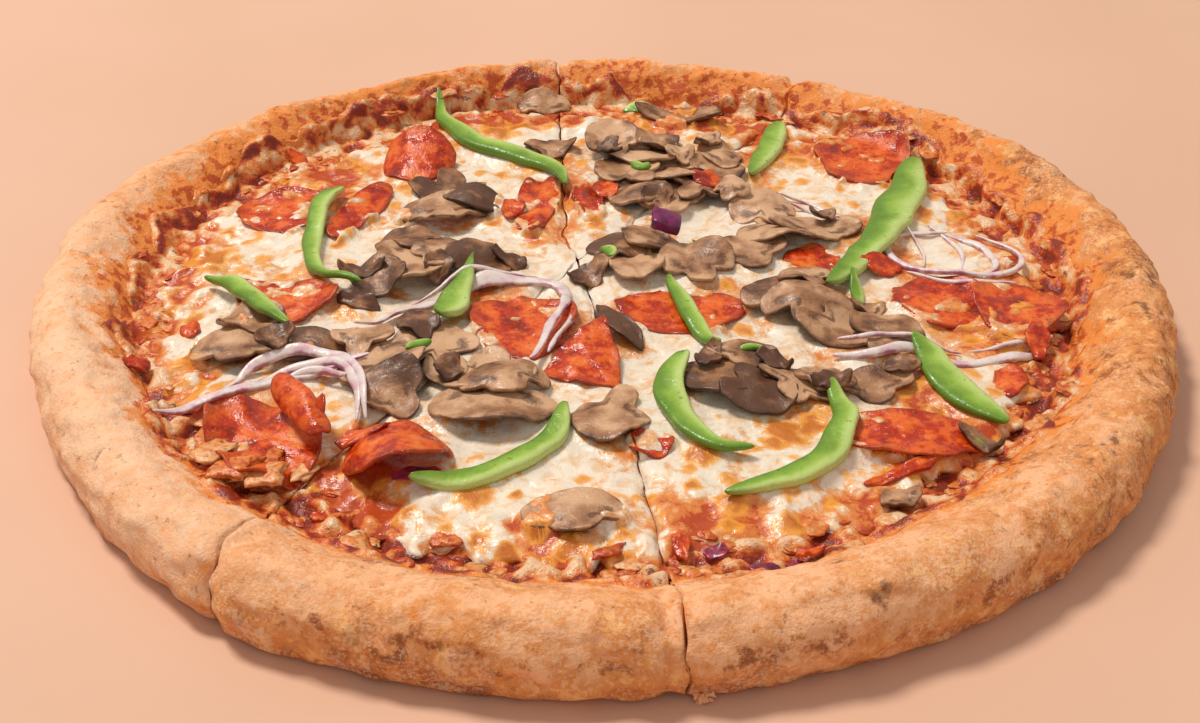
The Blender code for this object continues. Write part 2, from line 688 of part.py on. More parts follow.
def pepper_strips():
    """Name, width, height, softness, fullest place and route of each green pepper strip."""
    return [
        ("pepper_left", 6.5, 4.0, 0.7, 0.5, [(-128, 6), (-116, -3), (-106, -18), (-94, -33)]),
        ("pepper_back_left", 7.0, 4.5, 0.8, 0.35,
         [(-91, 71), (-97, 52), (-95, 22), (-88, 7), (-76, -1)]),
        ("pepper_pale_left", 10.0, 5.0, 0.6, 0.7, [(-41, 14), (-44, -3), (-49, -24)]),
        ("pepper_middle", 6.5, 4.0, 0.7, 0.5, [(22, 6), (25, -8), (30, -24), (36, -40)]),
        ("pepper_front_left", 8.0, 5.0, 0.6, 0.45,
         [(-10, -67), (-14, -84), (-27, -97), (-40, -104), (-52, -106)]),
        ("pepper_front_middle", 9.0, 4.5, 0.6, 0.35,
         [(25, -41), (20, -56), (23, -75), (32, -87), (43, -89)]),
        ("pepper_front_right", 9.0, 5.0, 0.6, 0.45,
         [(67, -59), (69, -77), (62, -94), (48, -104), (33, -110)]),
        ("pepper_right", 12.0, 4.5, 0.7, 0.55, [(95, -31), (100, -46), (107, -63), (116, -76)]),
        ("pepper_tall_right", 14.0, 6.0, 0.5, 0.4,
         [(115, 93), (109, 70), (97, 41), (85, 17), (72, -3)]),
        ("pepper_back_right", 9.5, 5.0, 0.6, 0.4, [(69, 129), (65, 113), (60, 98), (54, 82)]),
        ("pepper_far_left", 9.0, 5.0, 0.6, 0.55,
         [(-63, 149), (-58, 128), (-46, 110), (-30, 99), (-17, 86), (-12, 71)]),
    ]


def lay_toppings(table, parts, cutters, materials):
    for name, soft, skin in pepperoni_slices():
        put_single(table, name, skin, soft, parts, materials["pepperoni"])
    for name, values in mushroom_singles().items():
        put_single(table, name, mushroom_skin(values), 0.9, parts, materials["mushroom"])
    for name, slices in mushroom_heaps().items():
        skins = [mushroom_skin(values) for values in slices]
        put_heap(table, name, skins, 0.9, 1.4, parts, cutters, materials["mushroom"])
    for name, strands in onion_strands().items():
        skins = [strip_skin(route, width, 2.0, 11, 4, 0.4) for width, route in strands]
        put_heap(table, name, skins, 1.0, 1.7, parts, cutters, materials["onion"])
    chunk = slice_skin((22, 31), (13, 14), 5.0, 40, 18, 0, 0, 0, "square", 0.9, 12, 3)
    put_single(table, "onion_chunk", chunk, 0.4, parts, materials["onion"])
    for name, width, height, soft, fullest, route in pepper_strips():
        skin = strip_skin(route, width, height, 10, 6, 0.55, 0.18 * height, fullest)
        put_single(table, name, skin, soft, parts, materials["pepper"])


def build_pizza():
    clear_scene()
    parts = new_collection("pizza")
    cutters = new_collection("cutters")
    roughness = {"crust": 0.85, "sauce": 0.45, "cheese": 0.4, "pepperoni": 0.45,
                 "pepper": 0.35, "onion": 0.35, "mushroom": 0.6}
    materials = {name: make_material(name, value) for name, value in roughness.items()}
    table = Table()
    for layer in make_layers(parts, cutters, materials):
        skin = skin_of_object(layer)
        table.add(skin)
        skin.free()
    lay_toppings(table, parts, cutters, materials)


build_pizza()
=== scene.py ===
"""Looks of a round pizza with a puffy rim, cut into pieces that still lie together.

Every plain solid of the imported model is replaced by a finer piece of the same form.
Sizes are in millimetres and become metres when a mesh is made. The origin is the middle
of the underside, +Z is up and -Y is the front. Angles run anticlockwise from +X.
"""

import math

import bpy
import numpy as np
from mathutils import Matrix, Vector, noise
from mathutils.bvhtree import BVHTree


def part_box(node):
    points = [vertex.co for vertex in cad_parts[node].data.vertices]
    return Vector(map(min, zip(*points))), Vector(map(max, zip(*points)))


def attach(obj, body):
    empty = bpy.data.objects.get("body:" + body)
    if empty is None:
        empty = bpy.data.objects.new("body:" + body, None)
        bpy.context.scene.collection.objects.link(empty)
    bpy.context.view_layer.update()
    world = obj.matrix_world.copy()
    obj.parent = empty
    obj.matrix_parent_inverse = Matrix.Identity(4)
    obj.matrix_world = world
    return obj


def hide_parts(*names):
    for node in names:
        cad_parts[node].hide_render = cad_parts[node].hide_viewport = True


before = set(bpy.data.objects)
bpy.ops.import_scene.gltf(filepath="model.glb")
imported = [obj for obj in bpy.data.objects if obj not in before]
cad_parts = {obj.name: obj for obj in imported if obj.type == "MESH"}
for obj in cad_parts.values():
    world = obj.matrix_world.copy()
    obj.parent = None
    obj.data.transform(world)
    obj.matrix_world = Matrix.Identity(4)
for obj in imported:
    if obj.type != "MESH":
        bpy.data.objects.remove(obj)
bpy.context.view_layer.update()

MM = 0.001

# Driving dimensions of the bread, sauce and cheese
RADIUS = 178.8
RIM_HEIGHT = 23.5
BASE_THICKNESS = 7.0
UNDERSIDE_INSET = 7.0
CREST_INSET = 10.5
LOWEST_TURN = -30.0
SAUCE_EDGE = 154.0
SAUCE_EDGE_SHIFT = 8.5
RIM_FOOT_INSET = 5.5
SAUCE_GAP = 0.6
SAUCE_THICKNESS = 1.3
CHEESE_BOTTOM = BASE_THICKNESS + SAUCE_GAP + SAUCE_THICKNESS + 0.3
CHEESE_THICKNESS = 2.4
CHEESE_INSET = 12.0

# Radius of the circle on which the noise of ragged edges is read
NOISE_RADIUS = 150.0

# How far the cheese's edge, the skirt under it and its underside lie below its bottom
EDGE_DROP = 0.4
SKIRT_DROP = 1.2
UNDER_DROP = 0.2

# Thicknesses of the toppings and of their scraps
SAUSAGE_THICKNESS = 1.9
SAUSAGE_SCRAP = 1.8
MUSHROOM_THICKNESS = 2.1
MUSHROOM_SCRAP = 1.7
ONION_THICKNESS = 2.0
ONION_THREAD = 1.5
PURPLE_BIT = 1.3
CHUNK_THICKNESS = 5.0

# The two cuts meet off the middle; each half cut runs from there to past the rim
CROSSING = (-7.0, 24.0)
CUT_WIDTH = 0.8
HALF_CUTS = {
    "front": [(5.0, -50.0), (12.0, -100.0), (26.0, -220.0)],
    "back_right": [(120.0, 214.5)],
    "back": [(-12.0, 44.0), (-18.0, 220.0)],
    "front_left": [(-84.0, -103.0), (-90.0, -121.0), (-99.0, -150.0), (-120.0, -217.0)],
}
RIM_CUT_ANGLES = [-84.4, 63.4, 95.0, 236.4]
PIECES = {
    "front": ("front_left", "front"),
    "right": ("front", "back_right"),
    "back": ("back_right", "back"),
    "left": ("back", "front_left"),
}

# Grids of heights over the pizza: half their width, their steps, and where rays start
FIELD_REACH = 186.0
FIELD_STEP = 2.0
FILL_STEP = 1.0
RAY_START = 90.0
INSIDE_BREAD = 2.0
UP = Vector((0.0, 0.0, 1.0))
DOWN = Vector((0.0, 0.0, -1.0))

# How far a topping stays off what it lies on, and how far from the middle toppings reach
CLEARANCE = 0.3
TOPPED_RADIUS = 166.0

# Cheese round the toppings: how deep they sink in it, how high and how steeply it rises to them, and
# how far above it a slice can be that it still runs over
SUNK = 0.9
MOST_FILL = 3.1
STEEPEST = 0.7
SLOPE_ROUNDS = 8
HIGHEST_COVERED = 2.6

# Fineness of the meshes: sizes of their cells, counts of their rows
RIM_COLUMN = 1.0
SLOPE_ROWS = 24
OUTSIDE_ROWS = 36
SAUCE_CELL = 1.3
SAUCE_ROWS = 30
CHEESE_CELL = 1.0
CHEESE_REACH = 148.0
UNDER_STEP = 18
STRIP_CELL = 0.9
STRIP_ROWS = (24, 110)
SLICE_CELL = 1.2
SLICE_COLUMNS = (28, 80)
LUMP_RINGS = 11
LUMP_COLUMNS = 16

# Rays from a piece's tip: how near it they start, and where and how often their length is sought
TIP_GAP = 0.02
SEARCH_START = 150.0
SEARCH_ROUNDS = 14

# Small things strewn by seeded draws
LUCK = np.random.default_rng(11)
SMALL_BLISTER_COUNT = 900
BLISTER_REACH = 157.0
BIT_COUNT = 150
CRUMB_COUNT = 18
CRUMB_PLACE = (25.0, -174.8)


def ripple(angle, terms):
    """A sum of sines round the pizza; each term is waves, size and phase."""
    return sum(size * np.sin(waves * angle + phase) for waves, size, phase in terms)


def degrees_from(angle, middle):
    """How far an angle is from another one, in degrees, from -180 to 180."""
    return (np.degrees(angle) - middle + 180.0) % 360.0 - 180.0


def near_cut(angle, reach):
    """Where the cuts go through the rim: 1 at a cut, and falling off over some degrees."""
    return sum(np.exp(-((degrees_from(angle, cut) / reach) ** 2)) for cut in RIM_CUT_ANGLES)


def rim_radius(angle):
    lobes = [(1, 0.6, 1.1), (2, 1.1, 2.0), (3, 1.4, -0.2), (4, 1.0, 2.9), (5, 1.1, -0.2)]
    away = degrees_from(angle, RIM_CUT_ANGLES[3])
    swell = 2.0 * np.exp(-(((away - 4.0) / 4.0) ** 2))
    return RADIUS + ripple(angle, lobes) + swell - 1.9 * near_cut(angle, 1.1)


def rim_height(angle):
    uneven = ripple(angle, [(2, 0.7, 1.9), (4, 0.6, 0.2), (7, 0.5, 2.7), (11, 0.4, 1.3)])
    return RIM_HEIGHT + uneven - 2.2 * near_cut(angle, 1.1)


def sauce_radius(angle):
    uneven = ripple(angle, [(3, 1.0, 0.5), (6, 0.9, 2.2), (10, 0.8, 0.9)])
    return SAUCE_EDGE + SAUCE_EDGE_SHIFT * np.sin(angle) + uneven


def foot_radius(angle):
    return sauce_radius(angle) - RIM_FOOT_INSET


def crest_radius(angle):
    return rim_radius(angle) - CREST_INSET + np.sin(angle)


def slope_radius(angle, part):
    """Radius at a share of the way from the rim's foot to its crest."""
    foot = foot_radius(angle)
    return foot + part * (crest_radius(angle) - foot)


def inner_slope(angle, radius):
    """Height of the rim's inner side at a radius between its foot and its crest."""
    foot = foot_radius(angle)
    crest = crest_radius(angle)
    inward = np.clip((crest - radius) / (crest - foot), 0.0, 1.0)
    return BASE_THICKNESS + (rim_height(angle) - BASE_THICKNESS) * (1.0 - inward**1.7) ** 0.9


def rim_outside(angle, degrees):
    """Radius and height of the rim's outer side, 90 degrees being its crest."""
    height = rim_height(angle)
    reach = CREST_INSET - np.sin(angle)
    middle = 0.45 * height
    turn = math.radians(degrees)
    radius = rim_radius(angle) - reach + reach * math.cos(turn)
    return radius, middle + (height - middle) * math.sin(turn)


def cheese_radius(angle):
    uneven = ripple(angle, [(3, 1.6, 4.2), (7, 2.2, 0.7), (13, 2.2, 1.9), (22, 1.8, 3.0)])
    limit = foot_radius(angle) - 2.5
    return np.minimum(limit, sauce_radius(angle) - CHEESE_INSET + uneven)


def bumps(x, y, z, size):
    """Smooth noise with lumps of about the given size, from -1 to 1, at arrays of points."""
    x, y, z = np.broadcast_arrays(x, y, z)
    flat = zip(x.ravel() / size, y.ravel() / size, z.ravel() / size)
    return np.array([noise.noise(place) for place in flat]).reshape(x.shape)


def ring_bumps(angle, shift, size):
    """Noise round the pizza, for the ragged edges of its layers."""
    return bumps(NOISE_RADIUS * np.cos(angle), NOISE_RADIUS * np.sin(angle), shift, size)


def smooth_step(value, low, high):
    part = np.clip((value - low) / (high - low), 0.0, 1.0)
    return part * part * (3.0 - 2.0 * part)


def cheese_height(x, y):
    """Upper face of the plain cheese solid."""
    swell = 0.9 * bumps(x, y, 0.0, 24.0)
    lump = 0.5 * bumps(x, y, 7.0, 9.0)
    from_edge = cheese_radius(np.arctan2(y, x)) - np.hypot(x, y)
    fade = 1.0 - 0.55 * np.exp(-np.maximum(0.0, from_edge) / 6.0)
    return CHEESE_BOTTOM + CHEESE_THICKNESS * fade + (swell + lump) * fade


class Skin:
    """Points in millimetres, the faces between them, and marks that colour them."""

    def __init__(self, points, faces, marks):
        self.points = points
        self.faces = faces
        self.marks = marks

    def unmarked(self):
        return Skin(self.points, self.faces, {})

    def tree(self):
        return BVHTree.FromPolygons([tuple(point) for point in self.points], self.faces)


def joined(skins):
    """Several skins as one."""
    starts = np.cumsum([0] + [len(skin.points) for skin in skins])
    faces = []
    for skin, start in zip(skins, starts):
        faces += [[corner + int(start) for corner in face] for face in skin.faces]
    marks = {name: np.concatenate([skin.marks[name] for skin in skins]) for name in skins[0].marks}
    return Skin(np.vstack([skin.points for skin in skins]), faces, marks)


def closed_skin(points, marks):
    """A closed skin through rings of points; the first and the last ring are one point each."""
    rings, columns, _ = points.shape
    here = np.arange(columns)
    after = (here + 1) % columns
    bottom = 1 + (rings - 2) * columns
    last = bottom - columns
    faces = []
    for low in range(1, last, columns):
        high = low + columns
        faces += [[low + a, high + a, high + b, low + b] for a, b in zip(here, after)]
    faces += [[0, 1 + a, 1 + b] for a, b in zip(here, after)]
    faces += [[bottom, last + b, last + a] for a, b in zip(here, after)]
    faces = [[int(corner) for corner in face] for face in faces]

    def flat(field):
        return np.concatenate([field[0, :1], field[1:-1].reshape(-1, *field.shape[2:]), field[-1, :1]])

    places = flat(points)
    corners = [places[[face[0], face[i], face[i + 1]]] for face in faces for i in range(1, len(face) - 1)]
    corners = np.array(corners)
    volume = np.einsum("ij,ij->i", corners[:, 0], np.cross(corners[:, 1], corners[:, 2])).sum()
    if volume < 0.0:
        faces = [face[::-1] for face in faces]
    return Skin(places, faces, {name: flat(field) for name, field in marks.items()})


def block_skin(points, marks):
    """One piece of a layer, from rows of points over it and back under it, and its two cut sides."""
    rows, columns = points.shape[:2]
    index = np.arange(rows * columns).reshape(rows, columns)
    corners = [index[:-1, :-1], index[:-1, 1:], index[1:, 1:], index[1:, :-1]]
    faces = np.stack(corners, axis=-1).reshape(-1, 4).tolist()
    faces += [index[:, 0].tolist(), index[::-1, -1].tolist()]
    return Skin(swayed(points.reshape(-1, 3)), faces, {name: field.ravel() for name, field in marks.items()})


def make_piece(name, skin, material, nodes=()):
    """One shown piece, riding on the pizza, in place of the nodes it stands for."""
    mesh = bpy.data.meshes.new(name)
    mesh.from_pydata((skin.points * MM).tolist(), [], skin.faces)
    mesh.shade_smooth()
    for mark, values in skin.marks.items():
        layer = mesh.attributes.new(mark, "FLOAT", "POINT")
        layer.data.foreach_set("value", np.asarray(values, dtype=np.float32))
    mesh.materials.append(material)
    piece = bpy.data.objects.new(name, mesh)
    bpy.context.scene.collection.objects.link(piece)
    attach(piece, "root")
    if nodes:
        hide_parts(*nodes)


class Wedge:
    """One piece of the pizza, as distances from its tip and shares of the way across it."""

    def __init__(self, first, last):
        leaving = (Vector(HALF_CUTS[first][0]) - Vector(CROSSING)).normalized()
        coming = (Vector(HALF_CUTS[last][0]) - Vector(CROSSING)).normalized()
        turn = math.atan2(coming.y, coming.x) - math.atan2(leaving.y, leaving.x)
        self.opening = turn % (2.0 * math.pi)
        middle = Matrix.Rotation(self.opening / 2.0, 2) @ leaving
        self.tip = Vector(CROSSING) + middle * (CUT_WIDTH / 2.0 / math.sin(self.opening / 2.0))
        self.first = self.side(first, 1.0)
        self.last = self.side(last, -1.0)
        while self.last[1][0] < self.first[1][0]:
            self.last[1] += 2.0 * math.pi
        while self.last[1][0] - self.first[1][0] > 2.0 * math.pi:
            self.last[1] -= 2.0 * math.pi

    def side(self, cut, hand):
        """Distances from the tip and angles along one side of the piece."""
        route = [Vector(CROSSING)] + [Vector(point) for point in HALF_CUTS[cut]]
        corners = [self.tip]
        for index in range(1, len(route)):
            ahead = route[min(index + 1, len(route) - 1)] - route[index - 1]
            ahead.normalize()
            corners.append(route[index] + hand * CUT_WIDTH / 2.0 * Vector((-ahead.y, ahead.x)))
        shares = np.linspace(0.0, len(corners) - 1.0, 60 * (len(corners) - 1) + 1)[1:]
        x = np.interp(shares, range(len(corners)), [corner.x for corner in corners]) - self.tip.x
        y = np.interp(shares, range(len(corners)), [corner.y for corner in corners]) - self.tip.y
        return [np.hypot(x, y), np.unwrap(np.arctan2(y, x))]

    def place(self, across, distance):
        low = np.interp(distance, self.first[0], self.first[1])
        high = np.interp(distance, self.last[0], self.last[1])
        angle = low + across * (high - low)
        return self.tip.x + distance * np.cos(angle), self.tip.y + distance * np.sin(angle)

    def distance_to(self, across, radius_of):
        """Distance from the tip to where a piece's ray reaches radius_of(angle) from the middle."""
        distance = np.full(np.shape(across), SEARCH_START)
        for _ in range(SEARCH_ROUNDS):
            x, y = self.place(across, distance)
            distance = distance + radius_of(np.arctan2(y, x)) - np.hypot(x, y)
        return distance

    def columns(self, step):
        return np.linspace(0.0, 1.0, int(self.opening * RADIUS / step) + 1)


# Where the rim is palest and how far that reaches, in degrees, and how toasted it is round the pizza
PALE_MIDDLE = -157.0
PALE_REACH = 40.0
TOAST_ROUND = [
    (-180, 0.08), (-150, 0.20), (-125, 0.36), (-121, 0.48), (-100, 0.50), (-86, 0.44), (-82, 0.34),
    (-60, 0.40), (-35, 0.60), (-10, 0.92), (20, 0.86), (50, 0.50), (75, 0.26), (95, 0.26),
    (125, 0.36), (150, 0.34), (180, 0.08),
]


def heights_on(trees, x, y):
    """The highest of some surfaces under each point; where there is none, zero."""
    found = np.zeros(x.shape)
    for index in np.ndindex(x.shape):
        above = Vector((x[index], y[index], RAY_START))
        for tree in trees:
            hit = tree.ray_cast(above, DOWN)[0]
            if hit and hit.z > found[index]:
                found[index] = hit.z
    return found


def swayed(points):
    """Points moved a little sideways, so that the cuts aren't straight."""
    x, y, z = points[..., 0], points[..., 1], points[..., 2]
    moved = points.copy()
    moved[..., 0] += 1.5 * bumps(x, y, 1.7 * z, 9.0)
    moved[..., 1] += 1.5 * bumps(y, x, 1.7 * z + 50.0, 9.0)
    return moved


def blob(x, y, at, reach, turn=0.0):
    """1 at a place, falling to 0 outside an ellipse of the given half sizes."""
    c, s = math.cos(math.radians(turn)), math.sin(math.radians(turn))
    u = ((x - at[0]) * c + (y - at[1]) * s) / reach[0]
    v = (-(x - at[0]) * s + (y - at[1]) * c) / reach[1]
    return np.exp(-((u * u + v * v) ** 1.5))


# Dark and brown places of the rim: angle round the pizza, height, half sizes along and up, strength
CHARS = [
    (-67.7, 20.0, 5.0, 2.2, 0.85), (-52, 21, 2.5, 1.5, 0.6), (-30.3, 20, 5, 1.6, 0.8),
    (-35, 22, 6, 1.0, 0.8), (-37.5, 23, 2, 1.6, 0.7), (-40, 22.5, 2.2, 1.2, 0.6),
    (-22, 23, 4, 1.6, 0.6), (-9, 23.4, 4, 2.5, 0.9), (-1.7, 24, 4, 2.5, 0.9),
    (35, 24, 7, 1.6, 0.7), (28, 24, 5, 1.5, 0.6), (44, 24, 4, 1.4, 0.5), (12, 24, 4, 2, 0.5),
    (164, 21, 4, 2.0, 0.7), (176, 22.4, 3, 1.5, 0.5), (146, 23, 4, 2, 0.6), (-142, 22, 4.5, 1.4, 0.7),
    (-153, 22, 2.2, 1.4, 0.5), (-120.4, 20.7, 1.6, 1, 0.5), (-116, 17, 1.6, 1, 0.5),
    (120, 23, 4, 1.4, 0.5), (110, 23, 3, 1.2, 0.4), (-124.5, 14, 2.0, 2.0, 0.7),
]
BROWNS = [
    (-112.5, 15, 9, 4, 0.9), (-106.5, 14.5, 7, 3, 1.0), (-103, 16, 6, 3, 0.8), (-98, 14, 9, 3, 0.6),
    (-77.6, 13.5, 12, 3.5, 0.9), (-72, 14, 10, 4, 0.7), (-56, 13, 13, 4, 0.8), (-90, 14, 8, 3, 0.5),
    (-64, 10, 12, 3, 0.5), (-86, 20, 4, 3, 0.4), (-48, 18, 12, 5, 0.5), (-126, 10, 8, 4, 0.5),
    (-40, 14, 16, 7, 0.6), (-20, 18, 22, 8, 0.55), (0, 20, 20, 6, 0.6), (25, 22, 22, 4, 0.7),
]


def crust_rows(wedge):
    """Rows of points over the bread and back under it, and how rough each of them is."""
    across = wedge.columns(RIM_COLUMN)
    rows, rough = [], []

    def add(x, y, z, roughness):
        rows.append(np.stack([x, y, z], axis=-1))
        rough.append(np.full(x.shape, roughness))

    def flat_rows(shares, radius_of, height):
        reach = wedge.distance_to(across, radius_of)
        for share in shares:
            x, y = wedge.place(across, np.maximum(TIP_GAP, share * reach))
            add(x, y, np.full(x.shape, height), 0.0)

    def profile_row(radius_of, height_of, roughness):
        x, y = wedge.place(across, wedge.distance_to(across, radius_of))
        add(x, y, height_of(np.arctan2(y, x)), roughness)

    flat_rows([0.0, 0.25, 0.5, 0.75, 0.95], foot_radius, BASE_THICKNESS)
    for part in np.arange(SLOPE_ROWS) / SLOPE_ROWS:
        profile_row(lambda a: slope_radius(a, part), lambda a: inner_slope(a, slope_radius(a, part)),
                    smooth_step(part, 0.15, 0.5))
    for degrees in np.linspace(90.0, LOWEST_TURN, OUTSIDE_ROWS):
        profile_row(lambda a: rim_outside(a, degrees)[0], lambda a: rim_outside(a, degrees)[1], 1.0)
    for inset, share in [(1.9, 0.62), (3.0, 0.33), (4.6, 0.1), (UNDERSIDE_INSET, 0.0)]:
        profile_row(lambda a: rim_radius(a) - inset, lambda a: share * rim_outside(a, LOWEST_TURN)[1],
                    0.4 * share)
    flat_rows([0.9, 0.7, 0.5, 0.25, 0.0], lambda a: rim_radius(a) - UNDERSIDE_INSET, 0.0)
    return np.array(rows), np.array(rough)


def browned(spots, x, y, z):
    """How strongly the spots of a table brown each point of the rim."""
    warp_along = 9.0 * bumps(x, y, z, 7.0)
    warp_up = 5.0 * bumps(x, y, z + 60.0, 6.0)
    found = np.zeros(x.shape)
    for place, height, wide, tall, strength in spots:
        away = degrees_from(np.arctan2(y, x), place) * math.pi / 180.0 * RADIUS + warp_along
        shape = ((away / wide) ** 2 + ((z + warp_up - height) / tall) ** 2) ** 1.3
        np.maximum(found, strength * np.exp(-shape), out=found)
    return found


def crust_marks(x, y, z, char):
    """Where the rim is charred, browned, stained by oil, toasted and pale; the toasting and the browning
    also carry painted shade toward the foot of the rim's outer side.
    """
    angle = np.arctan2(y, x)
    radius = np.hypot(x, y)
    behind = 0.5 + 0.5 * np.sin(angle)
    right = 0.5 + 0.5 * np.cos(angle + 0.4)
    left = np.exp(-((degrees_from(angle, 155.0) / 35.0) ** 2))
    reach = 3.5 + 7.0 * behind + 2.0 * right + 4.0 * left + 10.0 * bumps(x, y, 3.0, 12.0)
    stain = np.exp(-((np.maximum(0.0, radius - sauce_radius(angle) + 3.0) / np.maximum(reach, 2.0)) ** 2))
    stain = np.where((z > 6.0) & (radius < crest_radius(angle) + 5.0), stain, 0.0)
    outer = radius > crest_radius(angle)
    toast_and_shade = np.interp(np.degrees(angle), *zip(*TOAST_ROUND))
    # Painted shade: the outer side is made more toasted, so darker, from near its crest down toward its
    # foot.
    toast_and_shade = toast_and_shade + 0.55 * smooth_step(-z, -19.0, -6.0) * outer
    toast_and_shade = toast_and_shade + 0.45 * bumps(x, y, z + 20.0, 20.0) + 0.30 * bumps(x, y, z, 8.0)
    # A dark band along the foot of the outer side: partly baked browning, partly painted shade.
    low = smooth_step(-z, -10.5, -1.0) * outer * (0.55 + 0.9 * bumps(x, y, z, 12.0))
    pale = np.exp(-((degrees_from(angle, PALE_MIDDLE) / PALE_REACH) ** 4))
    brown = np.maximum(browned(BROWNS, x, y, z), low)
    marks = {"char": char, "brown": brown, "stain": stain, "toast_and_shade": toast_and_shade, "pale": pale}
    return {name: np.clip(field, 0, 1) for name, field in marks.items()}


def crust_piece(wedge):
    """The bread of one piece: flat base, inner slope, rounded outside and underside."""
    points, rough = crust_rows(wedge)
    x, y, z = np.moveaxis(points, -1, 0)
    push = 1.0 + 0.55 * bumps(x, y, z * 1.6, 13.0) * rough / np.maximum(np.hypot(x, y), 1.0)
    lift = 0.77 * bumps(y, x, z * 1.6, 13.0) * rough
    out = np.cross(np.gradient(points, axis=0), np.gradient(points, axis=1))
    out = out / np.maximum(np.linalg.norm(out, axis=-1, keepdims=True), 1e-6)
    if (out * np.stack([x, y, 0.0 * z], -1))[rough == 1.0].sum() < 0.0:
        out = -out
    char = browned(CHARS, x, y, z)
    dents = np.minimum(0.0, bumps(x, y, z + 90.0, 12.0) + 0.1)
    relief = 0.6 * bumps(x, y, z, 6.5) + 0.35 * bumps(x, y, z + 40.0, 2.6)
    relief = relief + 1.2 * dents + 1.2 * bumps(x, y, z + 200.0, 22.0) - 0.6 * char
    shaped = np.stack([x * push, y * push, z + lift], -1) + out * (relief * rough)[..., None]
    shaped[..., 2] = np.maximum(shaped[..., 2], 0.0)
    return block_skin(shaped, crust_marks(x, y, z, char))


def sauce_piece(wedge, crust):
    """The sauce of one piece, lumpy where it shows between the cheese and the rim."""
    across = wedge.columns(SAUCE_CELL)
    start = wedge.distance_to(across, lambda a: foot_radius(a) - 14.0)

    def ragged(angle):
        edge = sauce_radius(angle) + 1.5
        return edge + 7.0 * ring_bumps(angle, 4.0, 12.0) + 1.2 * ring_bumps(angle, 4.0, 4.0)

    edge = wedge.distance_to(across, ragged)
    hidden = [np.maximum(TIP_GAP, share * start) for share in (0.0, 0.3, 0.6, 0.85)]
    shown_rows = [start + (edge - start) * index / SAUCE_ROWS for index in range(SAUCE_ROWS + 1)]
    distance = np.array(hidden + shown_rows)
    x, y = wedge.place(across[None, :], distance)
    near_x, near_y = wedge.place(np.clip(across, 0.004, 0.996)[None, :], distance)
    angle = np.arctan2(y, x)
    radius = np.hypot(x, y)
    ground = inner_slope(angle, radius)
    first = len(hidden)
    sunk = heights_on([crust.tree()], near_x[first:], near_y[first:])
    ground[first:] = np.where(sunk > 0.0, sunk, ground[first:])
    shown = smooth_step(radius - cheese_radius(angle), -6.0, 1.0)
    lumps = bumps(x, y, 1.3 * ground, 6.0)
    grain = bumps(x, y, 1.3 * ground + 5.0, 2.6)
    inner = smooth_step(edge[None, :] - distance, 0.0, 4.5)
    top = ground + (SAUCE_GAP + SAUCE_THICKNESS + 0.3) * inner - 0.5 * (1.0 - inner)
    behind = 0.5 + 0.5 * np.sin(angle)
    climbing = smooth_step(radius - sauce_radius(angle), -RIM_FOOT_INSET, 0.0)
    relief = (3.6 - 2.2 * behind) * lumps + 0.6 * grain
    top = top + shown * inner * (1.0 - 0.75 * climbing) * relief
    bottom = np.minimum(ground + SAUCE_GAP - 0.3, top - 0.2)
    points = np.concatenate([np.stack([x, y, top], -1), np.stack([x, y, bottom], -1)[::-1]])
    marks = {"lump": lumps + 0.5 * grain, "inner": inner, "behind": behind * (1.0 - climbing)}
    return block_skin(points, {name: np.concatenate([field, field[::-1]]) for name, field in marks.items()})


